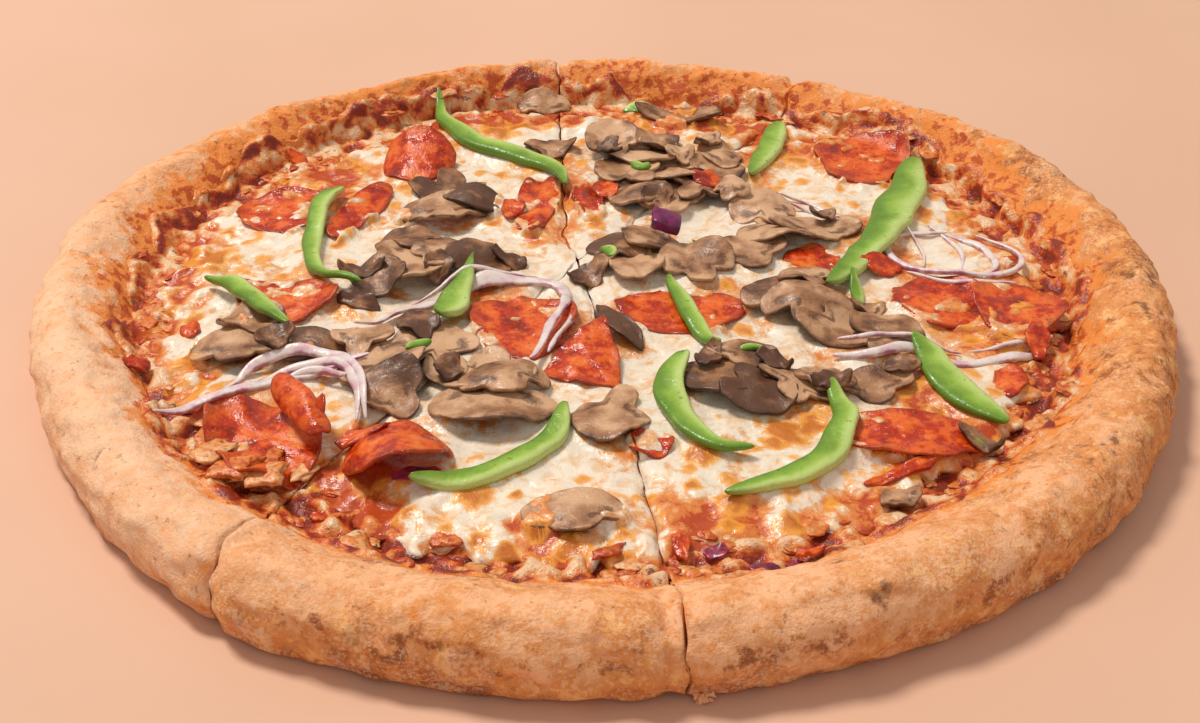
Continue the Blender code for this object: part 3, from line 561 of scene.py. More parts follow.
# Browned blisters of the cheese: place, half size and strength
BLISTERS = [
    (-137, -5, 3.2, 0.7), (-128, -12, 4.0, 0.7), (-125, -37, 3.5, 0.8), (-128, -50, 3.5, 0.7),
    (-120, -53, 2.5, 0.6), (-34, -108, 5.0, 0.75), (-23, -107, 2.2, 0.8), (-32, -125, 2.6, 0.9),
    (-24, -130, 3.6, 0.9), (-17, -124, 2.4, 0.8), (-8, -121, 3.0, 0.9), (-8, -128, 3.0, 0.95),
    (-3, -79, 2.8, 0.6), (-52, -115, 3.0, 0.7), (-80, -106, 3.2, 0.7), (-78, -114, 3.0, 0.7),
    (-41, -121, 2.4, 0.6), (2, -131, 2.6, 0.8), (-14, -133, 2.4, 0.7), (6, -124, 2.2, 0.7),
    (28, -89, 4.2, 1.0), (25, -103, 3.0, 0.75), (24, -95, 2.4, 0.5), (78, -87, 3.8, 0.8),
    (53, -78, 5.2, 1.0), (60, -73, 4.6, 1.0), (48, -82, 3.0, 0.8), (50, -119, 3.6, 0.9),
    (42, -126, 2.8, 0.8), (98, -66, 2.6, 1.0), (90, -56, 3.2, 0.8), (95, -51, 3.0, 0.7),
    (43, -85, 2.2, 0.5), (36, -111, 4.2, 0.7), (34, -119, 3.0, 0.7), (-5, -98, 2.6, 0.5),
    (-130, 27, 6.0, 1.0), (-88, 35, 3.2, 0.7), (-104, 15, 2.6, 0.6), (-93, 100, 3.4, 0.8),
    (-45, 108, 3.6, 0.7), (-38, 125, 6.0, 1.0), (-31, 131, 4.2, 0.8), (-36, 88, 3.2, 0.6),
    (-36, 49, 2.6, 0.7), (-2, 50, 3.2, 0.8), (-70, 78, 3.4, 0.6), (-80, 75, 3.6, 0.6),
    (25, 111, 3.4, 0.8), (112, 55, 4.4, 0.8), (135, 65, 4.2, 0.9), (123, 57, 3.6, 0.6),
    (147, 45, 4.4, 0.7), (19, 23, 2.2, 0.7), (47, 130, 4.4, 0.8), (34, 137, 3.4, 0.7),
    (65, 106, 4.4, 0.8), (73, 100, 4.2, 0.7), (62, 95, 3.2, 0.6), (55, 84, 3.2, 0.7),
    (-80, -10, 3.6, 0.6), (-104, -85, 3.2, 0.6), (-60, -30, 2.0, 0.4), (45, -20, 2.8, 0.6),
    (78, 62, 3.2, 0.4), (40, 8, 2.4, 0.5), (120, -52, 3.0, 0.5), (85, 128, 5.0, 0.7),
    (-100, 40, 2.6, 0.5), (-116, 42, 3.0, 0.5), (64, -66, 2.6, 0.6), (-20, 132, 3.2, 0.5),
]
# Places where orange oil and sauce show through thin cheese: place, half sizes, turn, strength
THIN = [
    (-65, -94, 12, 6, 10, 1.0), (22, -125, 8, 16, 5, 0.85), (85, -95, 15, 4, 25, 1.0),
    (77, -106, 6, 5, 0, 0.9), (-15, 80, 16, 22, 0, 0.7), (86, 47, 7, 8, 0, 1.0),
    (-112, 98, 12, 14, 0, 0.8), (-106, 120, 14, 18, -20, 0.7), (-72, -112, 18, 10, -15, 0.9),
    (35, -115, 9, 8, 0, 0.20), (58, -108, 18, 8, -15, 0.12), (92, -54, 10, 8, 0, 0.7),
    (134, -40, 9, 30, -10, 0.7), (140, 10, 12, 40, 0, 0.6), (70, 104, 24, 14, 20, 0.8),
    (55, 130, 22, 16, 0, 0.7), (116, 98, 16, 22, 20, 0.7), (-35, 135, 30, 12, 0, 0.5),
    (-95, 75, 36, 16, 20, 0.6), (-138, 40, 12, 26, 0, 0.7), (-104, -70, 16, 26, 25, 0.9),
    (-140, -30, 8, 24, 8, 0.6), (10, 2, 14, 12, 0, 0.6), (-30, -14, 20, 20, 0, 0.5),
    (-28, -119, 8, 4, 0, 0.8), (110, -8, 30, 14, 0, 0.6), (122, 30, 26, 16, 0, 0.35),
    (47, -128, 26, 5, 12, 0.40), (0, -136, 30, 5, 0, 0.6), (103, -80, 14, 4, 30, 0.7),
    (-88, 12, 16, 8, 0, 0.5), (96, 18, 12, 8, 0, 0.7), (-60, -80, 12, 14, 0, 0.7),
]


def small_blisters():
    """Seeded small blisters, closer together and stronger towards the rim."""
    found = []
    for _ in range(SMALL_BLISTER_COUNT):
        turn = LUCK.uniform(0.0, 2.0 * math.pi)
        share = math.sqrt(LUCK.uniform(0.02, 1.0))
        size = LUCK.uniform(0.9, 3.0)
        strength = LUCK.uniform(0.15, 0.9) * (0.25 + 0.75 * share**2)
        reach = BLISTER_REACH * share
        found.append((reach * math.cos(turn), reach * math.sin(turn), size, strength))
    return found


SMALL_BLISTERS = small_blisters()


def add_blisters(x, y, top):
    """Raise the cheese in blisters; gives back how brown they are at each point."""
    brown = np.zeros(x.shape)
    wobble_x = 1.8 * bumps(x, y, 70.0, 4.0)
    wobble_y = 1.8 * bumps(x, y, 80.0, 4.0)
    for bx, by, size, strength in BLISTERS + SMALL_BLISTERS:
        near = (np.abs(x - bx) < 3.0 * size) & (np.abs(y - by) < 3.0 * size)
        if not near.any():
            continue
        share = size / 3.0
        away = np.hypot(x[near] - bx + wobble_x[near] * share, y[near] - by + wobble_y[near] * share)
        brown[near] = np.maximum(brown[near], 1.4 * strength * np.exp(-((away / size) ** 2.6)))
        top[near] += 0.6 * strength * np.exp(-((away / (1.1 * size)) ** 2))
    return brown


def thinness(x, y, outward):
    """How thin the cheese is: in placed patches, seeded ones and more of both outward and behind."""
    thin = np.zeros(x.shape)
    for tx, ty, wide, long, turn, strength in THIN:
        thin = np.maximum(thin, strength * blob(x, y, (tx, ty), (wide, long), turn))
    behind = 0.5 + 0.5 * np.sin(np.arctan2(y, x) - 0.5)
    patches = bumps(x, y, 110.0, 17.0) + 0.45 * bumps(x, y, 130.0, 7.0) + 0.25 * bumps(x, y, 150.0, 3.2)
    return 0.75 * thin + (0.30 + 0.14 * behind) * outward + 0.01 + 0.80 * patches


def cheese_piece(wedge, heap):
    """The melted cheese of one piece: it rises round the toppings and thins to its edge."""
    across = wedge.columns(CHEESE_CELL * RADIUS / CHEESE_REACH)

    def ragged(angle):
        return cheese_radius(angle) + 8.0 * ring_bumps(angle, 9.0, 9.0) + 4.0 * ring_bumps(angle, 3.0, 3.6)

    edge = wedge.distance_to(across, ragged)
    shares = np.linspace(0.0, 1.0, int(float(edge.max()) / CHEESE_CELL)) ** 0.92
    distance = np.maximum(TIP_GAP, shares[:, None] * edge[None, :])
    x, y = wedge.place(across[None, :], distance)
    outward = smooth_step(np.hypot(x, y) / cheese_radius(np.arctan2(y, x)), 0.70, 1.0)
    fine = (0.8 + 0.9 * outward) * (1.2 * bumps(x, y, 30.0, 6.5) + 0.25 * bumps(x, y, 50.0, 2.8))
    fine = fine * (1.0 - 0.75 * heap.level(heap.under, x, y))
    melt = np.clip((edge[None, :] - distance) / 5.0, 0.0, 1.0) ** 0.6
    low = CHEESE_BOTTOM - EDGE_DROP
    top = low + (cheese_height(x, y) + fine - low) * (0.2 + 0.8 * melt)
    top = top + heap.level(heap.fill, x, y)
    side = np.minimum(across, 1.0 - across)[None, :] * (wedge.opening * distance)
    cut_gap = 1.0 + 1.6 * np.maximum(0.0, bumps(x, y, 2.0, 9.0))
    top = top - cut_gap * np.exp(-((side / 1.3) ** 2)) * smooth_step(distance, 4.0, 12.0)

    thin = thinness(x, y, outward) - 0.5 * outward * fine + 0.45 * heap.level(heap.oil, x, y)
    top = top - 0.5 * np.clip(thin, 0.0, 1.0)
    blister = add_blisters(x, y, top)
    top, covered = heap.covered(x, y, top)

    points = np.stack([x, y, top], -1)
    skirt = points[-1:].copy()
    skirt[..., 2] = CHEESE_BOTTOM - SKIRT_DROP
    under = points[::-UNDER_STEP].copy()
    under[..., 2] = CHEESE_BOTTOM - UNDER_DROP
    marks = {"thin": thin * (1.0 - 0.7 * covered) + 0.25 * covered, "blister": blister}
    for name, field in marks.items():
        field = np.clip(field, 0, 1)
        marks[name] = np.concatenate([field, field[-1:], field[::-UNDER_STEP]])
    return block_skin(np.concatenate([points, skirt, under]), marks)


def smooth_route(points, count):
    """Evenly spaced points on a smooth curve through a few given points."""
    given = np.array(points, float)
    ends = np.vstack([2 * given[0] - given[1], given, 2 * given[-1] - given[-2]])
    dense = []
    for index in range(1, len(ends) - 2):
        before, start, end, after = ends[index - 1 : index + 3]
        for part in np.linspace(0.0, 1.0, 20, endpoint=index == len(ends) - 3):
            straight = 2 * start + (end - before) * part
            bend = (2 * before - 5 * start + 4 * end - after) * part**2
            twist = (3 * start - before - 3 * end + after) * part**3
            dense.append(0.5 * (straight + bend + twist))
    dense = np.array(dense)
    run = np.concatenate([[0.0], np.cumsum(np.linalg.norm(np.diff(dense, axis=0), axis=1))])
    wanted = np.linspace(0.0, run[-1], count)
    return np.column_stack([np.interp(wanted, run, dense[:, axis]) for axis in range(2)])


def strip_skin(points, width, height, blunt=0.6, groove=0.0, fullest=0.5, sides=18, wrinkle=0.15):
    """A tapering strip along a route; groove hollows its upper face."""
    given = np.array(points, float)
    length = np.linalg.norm(np.diff(given, axis=0), axis=1).sum()
    stations = int(np.clip(length / STRIP_CELL, *STRIP_ROWS))
    route = smooth_route(points, stations + 1)
    ahead = np.gradient(route, axis=0)
    ahead /= np.linalg.norm(ahead, axis=1)[:, None]
    part = np.linspace(0.0, 1.0, stations + 1)
    swell = np.sin(math.pi * part ** (math.log(0.5) / math.log(fullest))).clip(0.0, 1.0) ** blunt
    turn = 2.0 * math.pi * np.arange(sides) / sides
    cosine, sine = np.cos(turn)[None, :], np.sin(turn)[None, :]
    full = swell[:, None]
    run = part * length
    uneven = 1.0 + 2.0 * wrinkle * bumps(run, given[0, 0], given[0, 1], 9.0)[:, None]
    sidle = 2.0 * wrinkle * width * bumps(run, given[0, 1], given[0, 0], 14.0)[:, None]
    across = 0.5 * width * full * uneven * np.sign(cosine) * np.abs(cosine) ** 0.85 + sidle * full
    up = 0.5 * height * full**0.6 * np.sign(sine) * np.abs(sine) ** 0.8
    up = up - np.where(sine > 0.1, groove * full * (1.0 - np.abs(cosine)), 0.0)
    up = up + 0.6 * wrinkle * height * bumps(run, given[0, 1], 7.0, 6.0)[:, None] * full
    x = route[:, :1] - ahead[:, 1:] * across
    y = route[:, 1:] + ahead[:, :1] * across
    marks = {"side": cosine, "upper": sine, "end": 1.0 - full}
    marks = {name: np.broadcast_to(field, x.shape) for name, field in marks.items()}
    return closed_skin(np.stack([x, y, 0.5 * height + up], -1), marks)


def from_front(angle):
    """How far an angle of a slice's outline is from its front, from -pi to pi."""
    return (angle + math.pi / 2.0 + math.pi) % (2.0 * math.pi) - math.pi


def outline_reach(angle, kind, sharpness):
    """Radius of a slice's outline, as a share of its half size."""
    if kind == "mushroom":
        away = from_front(angle)
        notch = 0.50 * sharpness * np.exp(-(((np.abs(away) - 0.72) / 0.3) ** 2))
        stem = 0.22 * sharpness * np.exp(-((away / 0.3) ** 2))
        return 1.0 - notch + stem
    if kind == "round":
        return 1.0 + 0.05 * sharpness * np.sin(3.0 * angle) + 0.04 * np.sin(5.0 * angle + 1.0)
    corners = {"triangle": 3, "square": 4}[kind]
    sector = 2.0 * math.pi / corners
    away = (angle - math.pi / 2.0 + sector / 2.0) % sector - sector / 2.0
    flat = math.cos(sector / 2.0) / np.cos(np.abs(away) - sector / 2.0)
    return 1.0 + sharpness * (flat - 1.0)


# Rings of a slice from its middle to its edge, and their heights in shares of its thickness
SLICE_RINGS = [0.0, 0.12, 0.25, 0.38, 0.5, 0.6, 0.7, 0.79, 0.87, 0.93, 0.975]
UPPER_SIDES = [0.5] * (len(SLICE_RINGS) - 1) + [0.42, 0.26]


def slice_skin(at, size, thick, turn=0, lean=0, tip=0, bend=0, wave=0, kind="round", sharp=1.0,
               ruffle=0.5, rough=0.25, lip=0.0, dark=0.0, folds=(0, 0.0)):
    """A thin slice: bent on a cylinder, ruffled, leant back, tipped sideways, then turned."""
    around = 3.14 * 0.5 * (size[0] + size[1])
    columns = int(np.clip(around / SLICE_CELL, *SLICE_COLUMNS))
    share = np.array(SLICE_RINGS + [1.0, 1.0] + SLICE_RINGS[::-1])[:, None]
    side = np.array(UPPER_SIDES + [-height for height in UPPER_SIDES[::-1]])[:, None]
    angle = 2.0 * math.pi * np.arange(columns)[None, :] / columns
    circle = np.cos(angle), np.sin(angle)
    seed = at[0] * 1.7 + at[1] * 0.9
    jag = 0.15 * bumps(*circle, seed, 0.6) + 0.05 * bumps(*circle, seed + 5.0, 0.25)
    reach = share * outline_reach(angle, kind, sharp) * (1.0 + ruffle * jag * share**2)
    flat_x = 0.5 * size[0] * (reach * circle[0])
    flat_y = 0.5 * size[1] * (reach * circle[1])
    off = np.broadcast_to(side * (thick * (1.0 - 0.35 * share**3)), flat_x.shape).copy()
    across = flat_x
    if bend:
        swing = flat_x / bend
        across = (bend - off) * np.sin(swing)
        off = bend - (bend - off) * np.cos(swing)
    off = off + wave * share**2 * np.sin(3.0 * angle + 0.01 * size[0] * size[1])
    curl = bumps(2.0 * circle[0], 2.0 * circle[1], seed + 3.0, 1.1)
    off = off + ruffle * share**2.5 * (1.5 * curl + 0.2 * np.sin(7.0 * angle + seed))
    off = off + folds[1] * share**2.2 * np.sin(folds[0] * angle + 2.0 * share)
    off = off + lip * share**8
    off = off + rough * bumps(flat_x, flat_y, seed, 6.5)
    off = off + 0.35 * rough * bumps(flat_x, flat_y, seed + 9.0, 2.6)
    place = Matrix.Rotation(math.radians(turn), 3, "Z")
    place = place @ Matrix.Rotation(math.radians(lean), 3, "X")
    place = place @ Matrix.Rotation(math.radians(-tip), 3, "Y")
    points = np.stack([across, flat_y, off], -1) @ np.array(place).T + np.array([at[0], at[1], 0.0])
    away = np.abs(from_front(angle))
    fan = smooth_step(away, 0.25, 0.5) * (1.0 - smooth_step(away, 1.5, 1.9))
    gill = np.exp(-(((share - 0.6) / 0.17) ** 2)) * fan
    marks = {"share": share, "upper": (side > 0) * 1.0, "dark": float(dark), "gill": gill}
    return closed_skin(points, {name: np.broadcast_to(field, across.shape) for name, field in marks.items()})


def neighbours(field, reach):
    """The grid shifted by up to reach cells each way, one copy for each shift."""
    padded = np.pad(field, reach, mode="edge")
    span = range(2 * reach + 1)
    size = len(field)
    return [padded[i : i + size, j : j + size] for i in span for j in span]


class Table:
    """Heights of what has been laid so far, on a grid, raw and smoothed."""

    def __init__(self):
        count = int(2 * FIELD_REACH / FIELD_STEP) + 1
        self.heights = np.zeros((count, count))
        self.smooth = self.heights

    def add(self, skin):
        """Raise the grid to the top of one more skin."""
        low = np.floor((skin.points.min(axis=0)[:2] + FIELD_REACH) / FIELD_STEP).astype(int)
        high = np.ceil((skin.points.max(axis=0)[:2] + FIELD_REACH) / FIELD_STEP).astype(int)
        tree = skin.tree()
        for row in range(max(0, low[0]), min(len(self.heights) - 1, high[0]) + 1):
            for column in range(max(0, low[1]), min(len(self.heights) - 1, high[1]) + 1):
                x = row * FIELD_STEP - FIELD_REACH
                y = column * FIELD_STEP - FIELD_REACH
                hit = tree.ray_cast(Vector((x, y, RAY_START)), DOWN)[0]
                if hit and hit.z > self.heights[row, column]:
                    self.heights[row, column] = hit.z
        peaks = np.maximum.reduce(neighbours(self.heights, 1))
        self.smooth = sum(neighbours(peaks, 2)) / 25.0

    def level(self, places, field):
        return sample(field, places[:, 0], places[:, 1], FIELD_STEP)

    def drape(self, skin, soft, sink=0.0):
        """Lay a piece over what lies here."""
        places = skin.points
        under = self.level(places, self.smooth)
        places[:, 2] += under.mean() + soft * (under - under.mean())
        raw = self.level(places, self.heights)
        gaps = raw + CLEARANCE - sink - places[:, 2]
        places[:, 2] += np.percentile(gaps, 99.0)
        return skin


def sample(field, x, y, step):
    """Values of a square grid at some points, between its corners."""
    spot_x = (x + FIELD_REACH) / step
    spot_y = (y + FIELD_REACH) / step
    i = np.clip(np.floor(spot_x).astype(int), 0, len(field) - 2)
    j = np.clip(np.floor(spot_y).astype(int), 0, len(field) - 2)
    a = np.clip(spot_x - i, 0.0, 1.0)
    b = np.clip(spot_y - j, 0.0, 1.0)
    near = field[i, j] * (1 - b) + field[i, j + 1] * b
    far = field[i + 1, j] * (1 - b) + field[i + 1, j + 1] * b
    return near * (1 - a) + far * a


def solid_skin(name):
    """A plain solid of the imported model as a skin."""
    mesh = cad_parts[name].data
    places = np.empty(len(mesh.vertices) * 3)
    mesh.vertices.foreach_get("co", places)
    return Skin(places.reshape(-1, 3) / MM, [tuple(face.vertices) for face in mesh.polygons], {})


def fit_height(skin, node):
    """Move a fine piece up or down until its middle height is its solid's."""
    low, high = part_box(node)
    wanted = 0.5 * (low[2] + high[2]) / MM
    found = 0.5 * (skin.points[:, 2].min() + skin.points[:, 2].max())
    skin.points[:, 2] += wanted - found


def blurred(field, cells):
    """A grid smoothed by a bell curve of the given width in cells."""
    reach = int(3 * cells)
    weights = np.exp(-0.5 * (np.arange(-reach, reach + 1) / cells) ** 2)
    weights /= weights.sum()
    for axis in (0, 1):
        field = np.apply_along_axis(lambda row: np.convolve(row, weights, mode="same"), axis, field)
    return field


# Where cheese has run over the low slices, or hasn't: place, half sizes and strength
COVERED = [
    (104, -8, 14, 10, 0.35), (128, -16, 14, 12, 0.4), (96, 104, 16, 14, 0.2), (-112, 60, 12, 10, 0.25),
    (26, -12, 10, 8, -0.1), (-24, -20, 16, 16, -0.25), (-104, -4, 10, 9, 0.1), (88, -84, 20, 8, -0.1),
]


class Heap:
    """All toppings together: how far the cheese rises under, round and over them."""

    def __init__(self, skins, low_skins):
        spots = np.arange(int(2 * FIELD_REACH / FILL_STEP) + 1) * FILL_STEP - FIELD_REACH
        self.x, self.y = np.meshgrid(spots, spots, indexing="ij")
        self.inside = np.hypot(self.x, self.y) < TOPPED_RADIUS
        self.fill, self.under = self.rise(*self.lifts(joined(skins).tree()))
        tops = np.zeros(self.x.shape)
        tops[self.inside] = heights_on([joined(low_skins).tree()], self.x[self.inside], self.y[self.inside])
        present = (tops > 0.0) * 1.0
        self.present = blurred(present, 1.6)
        self.oil = blurred(present, 3.5)
        self.tops = blurred(tops, 1.6) / np.maximum(self.present, 0.02)

    def lifts(self, toppings):
        """How far the cheese would rise to each topping's underside, and the most it may rise there."""
        base = np.zeros(self.x.shape)
        base[self.inside] = cheese_height(self.x[self.inside], self.y[self.inside])
        fill = np.zeros(self.x.shape)
        most = np.full(self.x.shape, 2.0 * MOST_FILL)
        for row, column in zip(*np.nonzero(self.inside)):
            start = Vector((self.x[row, column], self.y[row, column], INSIDE_BREAD))
            hit = toppings.ray_cast(start, UP)[0]
            if hit:
                lift = hit.z + SUNK - base[row, column]
                fill[row, column] = lift if lift < MOST_FILL else max(0.0, 2.0 * MOST_FILL - lift)
                most[row, column] = max(0.0, lift)
        return fill, most

    def rise(self, fill, most):
        """The cheese's rise made smooth and never steep, and which places lie under a topping."""
        fill = np.clip(fill, 0.0, MOST_FILL)
        around = np.maximum(1.25 * blurred(fill, 1.8), 1.1 * blurred(fill, 4.0))
        fill = np.where(fill > 0.0, np.maximum(fill, 0.6 * around), around)
        most = np.minimum.reduce(neighbours(most, 1))
        fill = np.minimum(blurred(fill, 1.0), most)
        for _ in range(SLOPE_ROUNDS):
            fill = np.minimum(fill, np.minimum.reduce(neighbours(fill, 1)) + STEEPEST * FILL_STEP)
        return blurred(fill, 0.9), blurred((most < 2.0 * MOST_FILL) * 1.0, 1.0)

    def level(self, field, x, y):
        return sample(field, x, y, FILL_STEP)

    def covered(self, x, y, top):
        """Cheese that has run over the edges of the low slices, and how much of it there is."""
        present = self.level(self.present, x, y)
        tops = self.level(self.tops, x, y)
        edge = 4.0 * present * (1.0 - present)
        want = 0.30 * edge + 1.1 * bumps(x, y, 90.0, 8.5) + 0.6 * bumps(x, y, 95.0, 3.6) - 0.24
        for cx, cy, wide, long, strength in COVERED:
            want = want + strength * blob(x, y, (cx, cy), (wide, long))
        share = smooth_step(want, 0.0, 0.25) * smooth_step(present, 0.15, 0.5)
        share = share * smooth_step(HIGHEST_COVERED + 1.2 - (tops - top), 0.0, 1.2)
        over = np.maximum(0.0, tops + 0.45 + 0.5 * bumps(x, y, 33.0, 4.0) - top)
        return top + share * over, share


def pepperoni_slices():
    """Name, softness and shape of each slice of sausage, the lowest first."""
    return [
        ("pepperoni_far_right", 0.9, dict(at=(96, 99), size=(34, 38), bend=90)),
        ("pepperoni_right_inner", 0.9, dict(at=(109, -6), size=(30, 32), turn=20, bend=70)),
        ("pepperoni_right_outer", 0.7, dict(at=(131, -13), size=(28, 32), turn=-15, bend=90)),
        ("pepperoni_middle_right", 0.9, dict(at=(25, -11), size=(40, 28), wave=0.6)),
        ("pepperoni_middle", 0.8, dict(at=(-24, -20), size=(32, 38), turn=8, bend=60)),
        ("pepperoni_cut", 0.4, dict(at=(-4, -42), size=(30, 42), turn=-14, lean=6, bend=-28,
                                    kind="triangle", sharp=0.75)),
        ("pepperoni_back_left", 0.9, dict(at=(-110, 58), size=(33, 32), turn=15, wave=0.8)),
        ("pepperoni_behind_pepper", 0.6, dict(at=(-83, 57), size=(12, 42), turn=-22, tip=-12)),
        ("pepperoni_left", 0.8, dict(at=(-101, -4), size=(34, 27), turn=-5, bend=38)),
        ("pepperoni_upright", 0.2, dict(at=(-66, 93), size=(29, 27), turn=-8, lean=20, bend=-18)),
        ("pepperoni_torn", 0.6, dict(at=(-22, 63), size=(14, 42), turn=-6, wave=1.2, folds=(5, 1.0))),
        ("pepperoni_torn_right", 0.6, dict(at=(-4, 65), size=(10, 26), turn=10, wave=0.8, folds=(5, 0.8))),
        ("pepperoni_folded", 0.4, dict(at=(-94, -83), size=(35, 40), turn=20, lean=4, bend=32,
                                       wave=3.0, folds=(7, 2.0))),
        ("pepperoni_curled", 0.2, dict(at=(-56, -92), size=(36, 24), turn=18, lean=-14,
                                       bend=-17)),
        ("pepperoni_front_right", 0.8, dict(at=(86, -82), size=(44, 21), turn=-8, bend=-70)),
        ("pepperoni_small_right", 0.7, dict(at=(71, 20), size=(18, 22), turn=20, wave=0.6)),
        ("pepperoni_scrap", 0.7, dict(at=(14, -84), size=(13, 11), wave=0.5, folds=(3, 0.8))),
    ]


def onion_strands():
    """Width and route of the strands in each group of onion."""
    return {
        "onion_arc": [
            (4.0, [(-76, -27), (-58, -10), (-36, 3), (-14, 4), (-12, -14), (-17, -32), (-21, -46)]),
        ],
        "onion_left": [
            (3.6, [(-127, -76), (-114, -62), (-92, -52), (-68, -48)]),
            (3.4, [(-111, -60), (-103, -46), (-88, -42), (-73, -51), (-67, -74)]),
            (3.0, [(-104, -58), (-92, -48), (-78, -48), (-71, -60), (-70, -74)]),
        ],
        "onion_ring": [
            (2.8, [(118, 40), (99, 36), (97, 21), (112, 9), (134, 12), (139, 26), (127, 39)]),
            (2.6, [(112, 45), (126, 34), (131, 20), (124, 7)]),
        ],
        "onion_front_right": [
            (2.6, [(70, -38), (84, -39), (96, -37), (107, -43)]),
            (4.6, [(101, -40), (110, -41), (122, -37), (133, -34)]),
        ],
    }


def mushroom_heaps():
    """Overlapping mushroom slices: at, size, turn, lean, bend, stem and darkness of each."""
    return {
        "mushrooms_back": [
            ((24, 64), (26, 22), 10, 3, 45, 0.4, 0.6), ((13, 66), (22, 20), 200, 4, 0, 0.8, 0.5),
            ((35, 70), (24, 20), -30, 0, 36, 0.9, 0.5), ((25, 82), (28, 24), 160, 5, 0, 0.6, 0.3),
            ((10, 84), (24, 26), 30, 6, 40, 1.0, 0.25), ((41, 86), (24, 22), -60, 4, 34, 0.9, 0.6),
            ((16, 99), (30, 24), 185, 6, 0, 0.8, 0.2), ((5, 107), (22, 26), 10, 14, 34, 1.0, 0.25),
            ((22, 107), (20, 18), 60, 3, 26, 0.5, 0.6), ((44, 100), (16, 24), 20, 4, -24, 0.3, 0.4),
        ],
        "mushrooms_back_right": [
            ((50, 26), (26, 22), 15, 3, 40, 0.6, 0.3), ((62, 42), (34, 28), 200, 5, -45, 1.0, 0.15),
            ((57, 56), (24, 26), 20, 8, -30, 1.0, 0.25), ((73, 40), (34, 17), 12, 2, 50, 0.5, 0.2),
        ],
        "mushrooms_middle": [
            ((12, 17), (20, 26), 170, 4, 36, 0.7, 0.4), ((5, 26), (20, 22), -30, 4, -30, 0.6, 0.7),
            ((17, 31), (20, 20), 80, 3, 34, 0.5, 0.5), ((32, 17), (26, 22), 10, 6, -30, 0.8, 0.4),
        ],
        "mushrooms_right": [
            ((59, -6), (30, 19), 10, 3, -36, 0.6, 0.6), ((66, -14), (34, 19), -5, 3, -40, 0.8, 0.4),
            ((75, -25), (32, 17), 175, 3, 40, 0.9, 0.35), ((88, -28), (24, 19), -20, 2, 45, 0.7, 0.5),
            ((66, 3), (20, 14), 30, 8, 0, 0.8, 0.4),
        ],
        "mushrooms_front_right": [
            ((37, -52), (30, 24), 160, 5, -34, 0.9, 0.8), ((43, -42), (24, 15), 5, 6, 28, 0.5, 0.5),
            ((46, -61), (24, 22), 200, 4, 36, 0.9, 0.95), ((58, -58), (26, 13), -28, 4, 0, 0.8, 0.3),
            ((80, -55), (26, 16), 12, 4, 40, 0.6, 0.6), ((66, -56), (18, 12), -10, 2, 0, 0.4, 0.4),
        ],
        "mushrooms_front_left": [
            ((-31, -67), (38, 24), 175, 4, -45, 0.9, 0.25), ((-36, -50), (36, 26), 160, 3, 50, 1.0, 0.05),
            ((-50, -36), (28, 30), 30, 7, -40, 1.0, 0.1), ((-28, -58), (28, 18), 15, 2, -34, 0.5, 0.45),
            ((-56, -25), (14, 16), 20, 10, 20, 0.5, 0.8),
        ],
        "mushrooms_left": [
            ((-111, -36), (28, 18), 10, 3, -24, 0.5, 0.3), ((-91, -34), (30, 17), -12, 4, -26, 0.7, 0.8),
            ((-108, -22), (22, 20), 30, 4, 34, 0.4, 0.45),
        ],
        "mushrooms_left_inner": [
            ((-66, -46), (28, 28), 210, 4, -34, 0.8, 0.25), ((-61, -61), (22, 20), 40, 3, 20, 0.6, 0.75),
            ((-72, -34), (20, 16), -10, 5, 0, 0.7, 0.3),
        ],
        "mushrooms_back_left": [
            ((-60, 16), (26, 30), 150, 4, 45, 0.9, 0.3), ((-64, 31), (24, 18), 15, 3, -28, 0.6, 0.6),
            ((-51, 18), (24, 18), -20, 3, -28, 0.5, 0.4), ((-40, 16), (22, 22), 10, 3, -30, 0.3, 0.8),
            ((-72, 5), (20, 18), 10, 3, 24, 0.2, 0.7),
        ],
        "mushrooms_back_left_outer": [
            ((-54, 53), (32, 17), 8, 3, -30, 0.5, 0.4), ((-43, 59), (26, 15), -6, 3, -20, 0.2, 0.95),
        ],
    }


def mushroom_singles():
    """Mushroom slices that lie alone: at, size, turn, lean, bend, stem and darkness of each."""
    return {
        "mushroom_under_sausage": ((-54, 74), (28, 22), 175, 4, 36, 0.9, 0.6),
        "mushroom_by_cut": ((3, -72), (24, 26), 160, 3, -30, 0.7, 0.35),
        "mushroom_front": ((-7, -118), (30, 16), 8, 2, -36, 0.5, 0.3),
        "mushroom_dark": ((6, -24), (10, 24), 35, 8, -14, 0.2, 1.0),
        "mushroom_far_back": ((30, 136), (34, 14), -8, 2, 40, 0.3, 0.5),
    }


def mushroom_skin(at, size, turn, lean, bend, stem, dark):
    return slice_skin(at, size, MUSHROOM_THICKNESS, turn, lean, bend=bend, wave=0.7, kind="mushroom",
                      sharp=stem, ruffle=0.6, rough=0.6, lip=0.5, dark=dark)


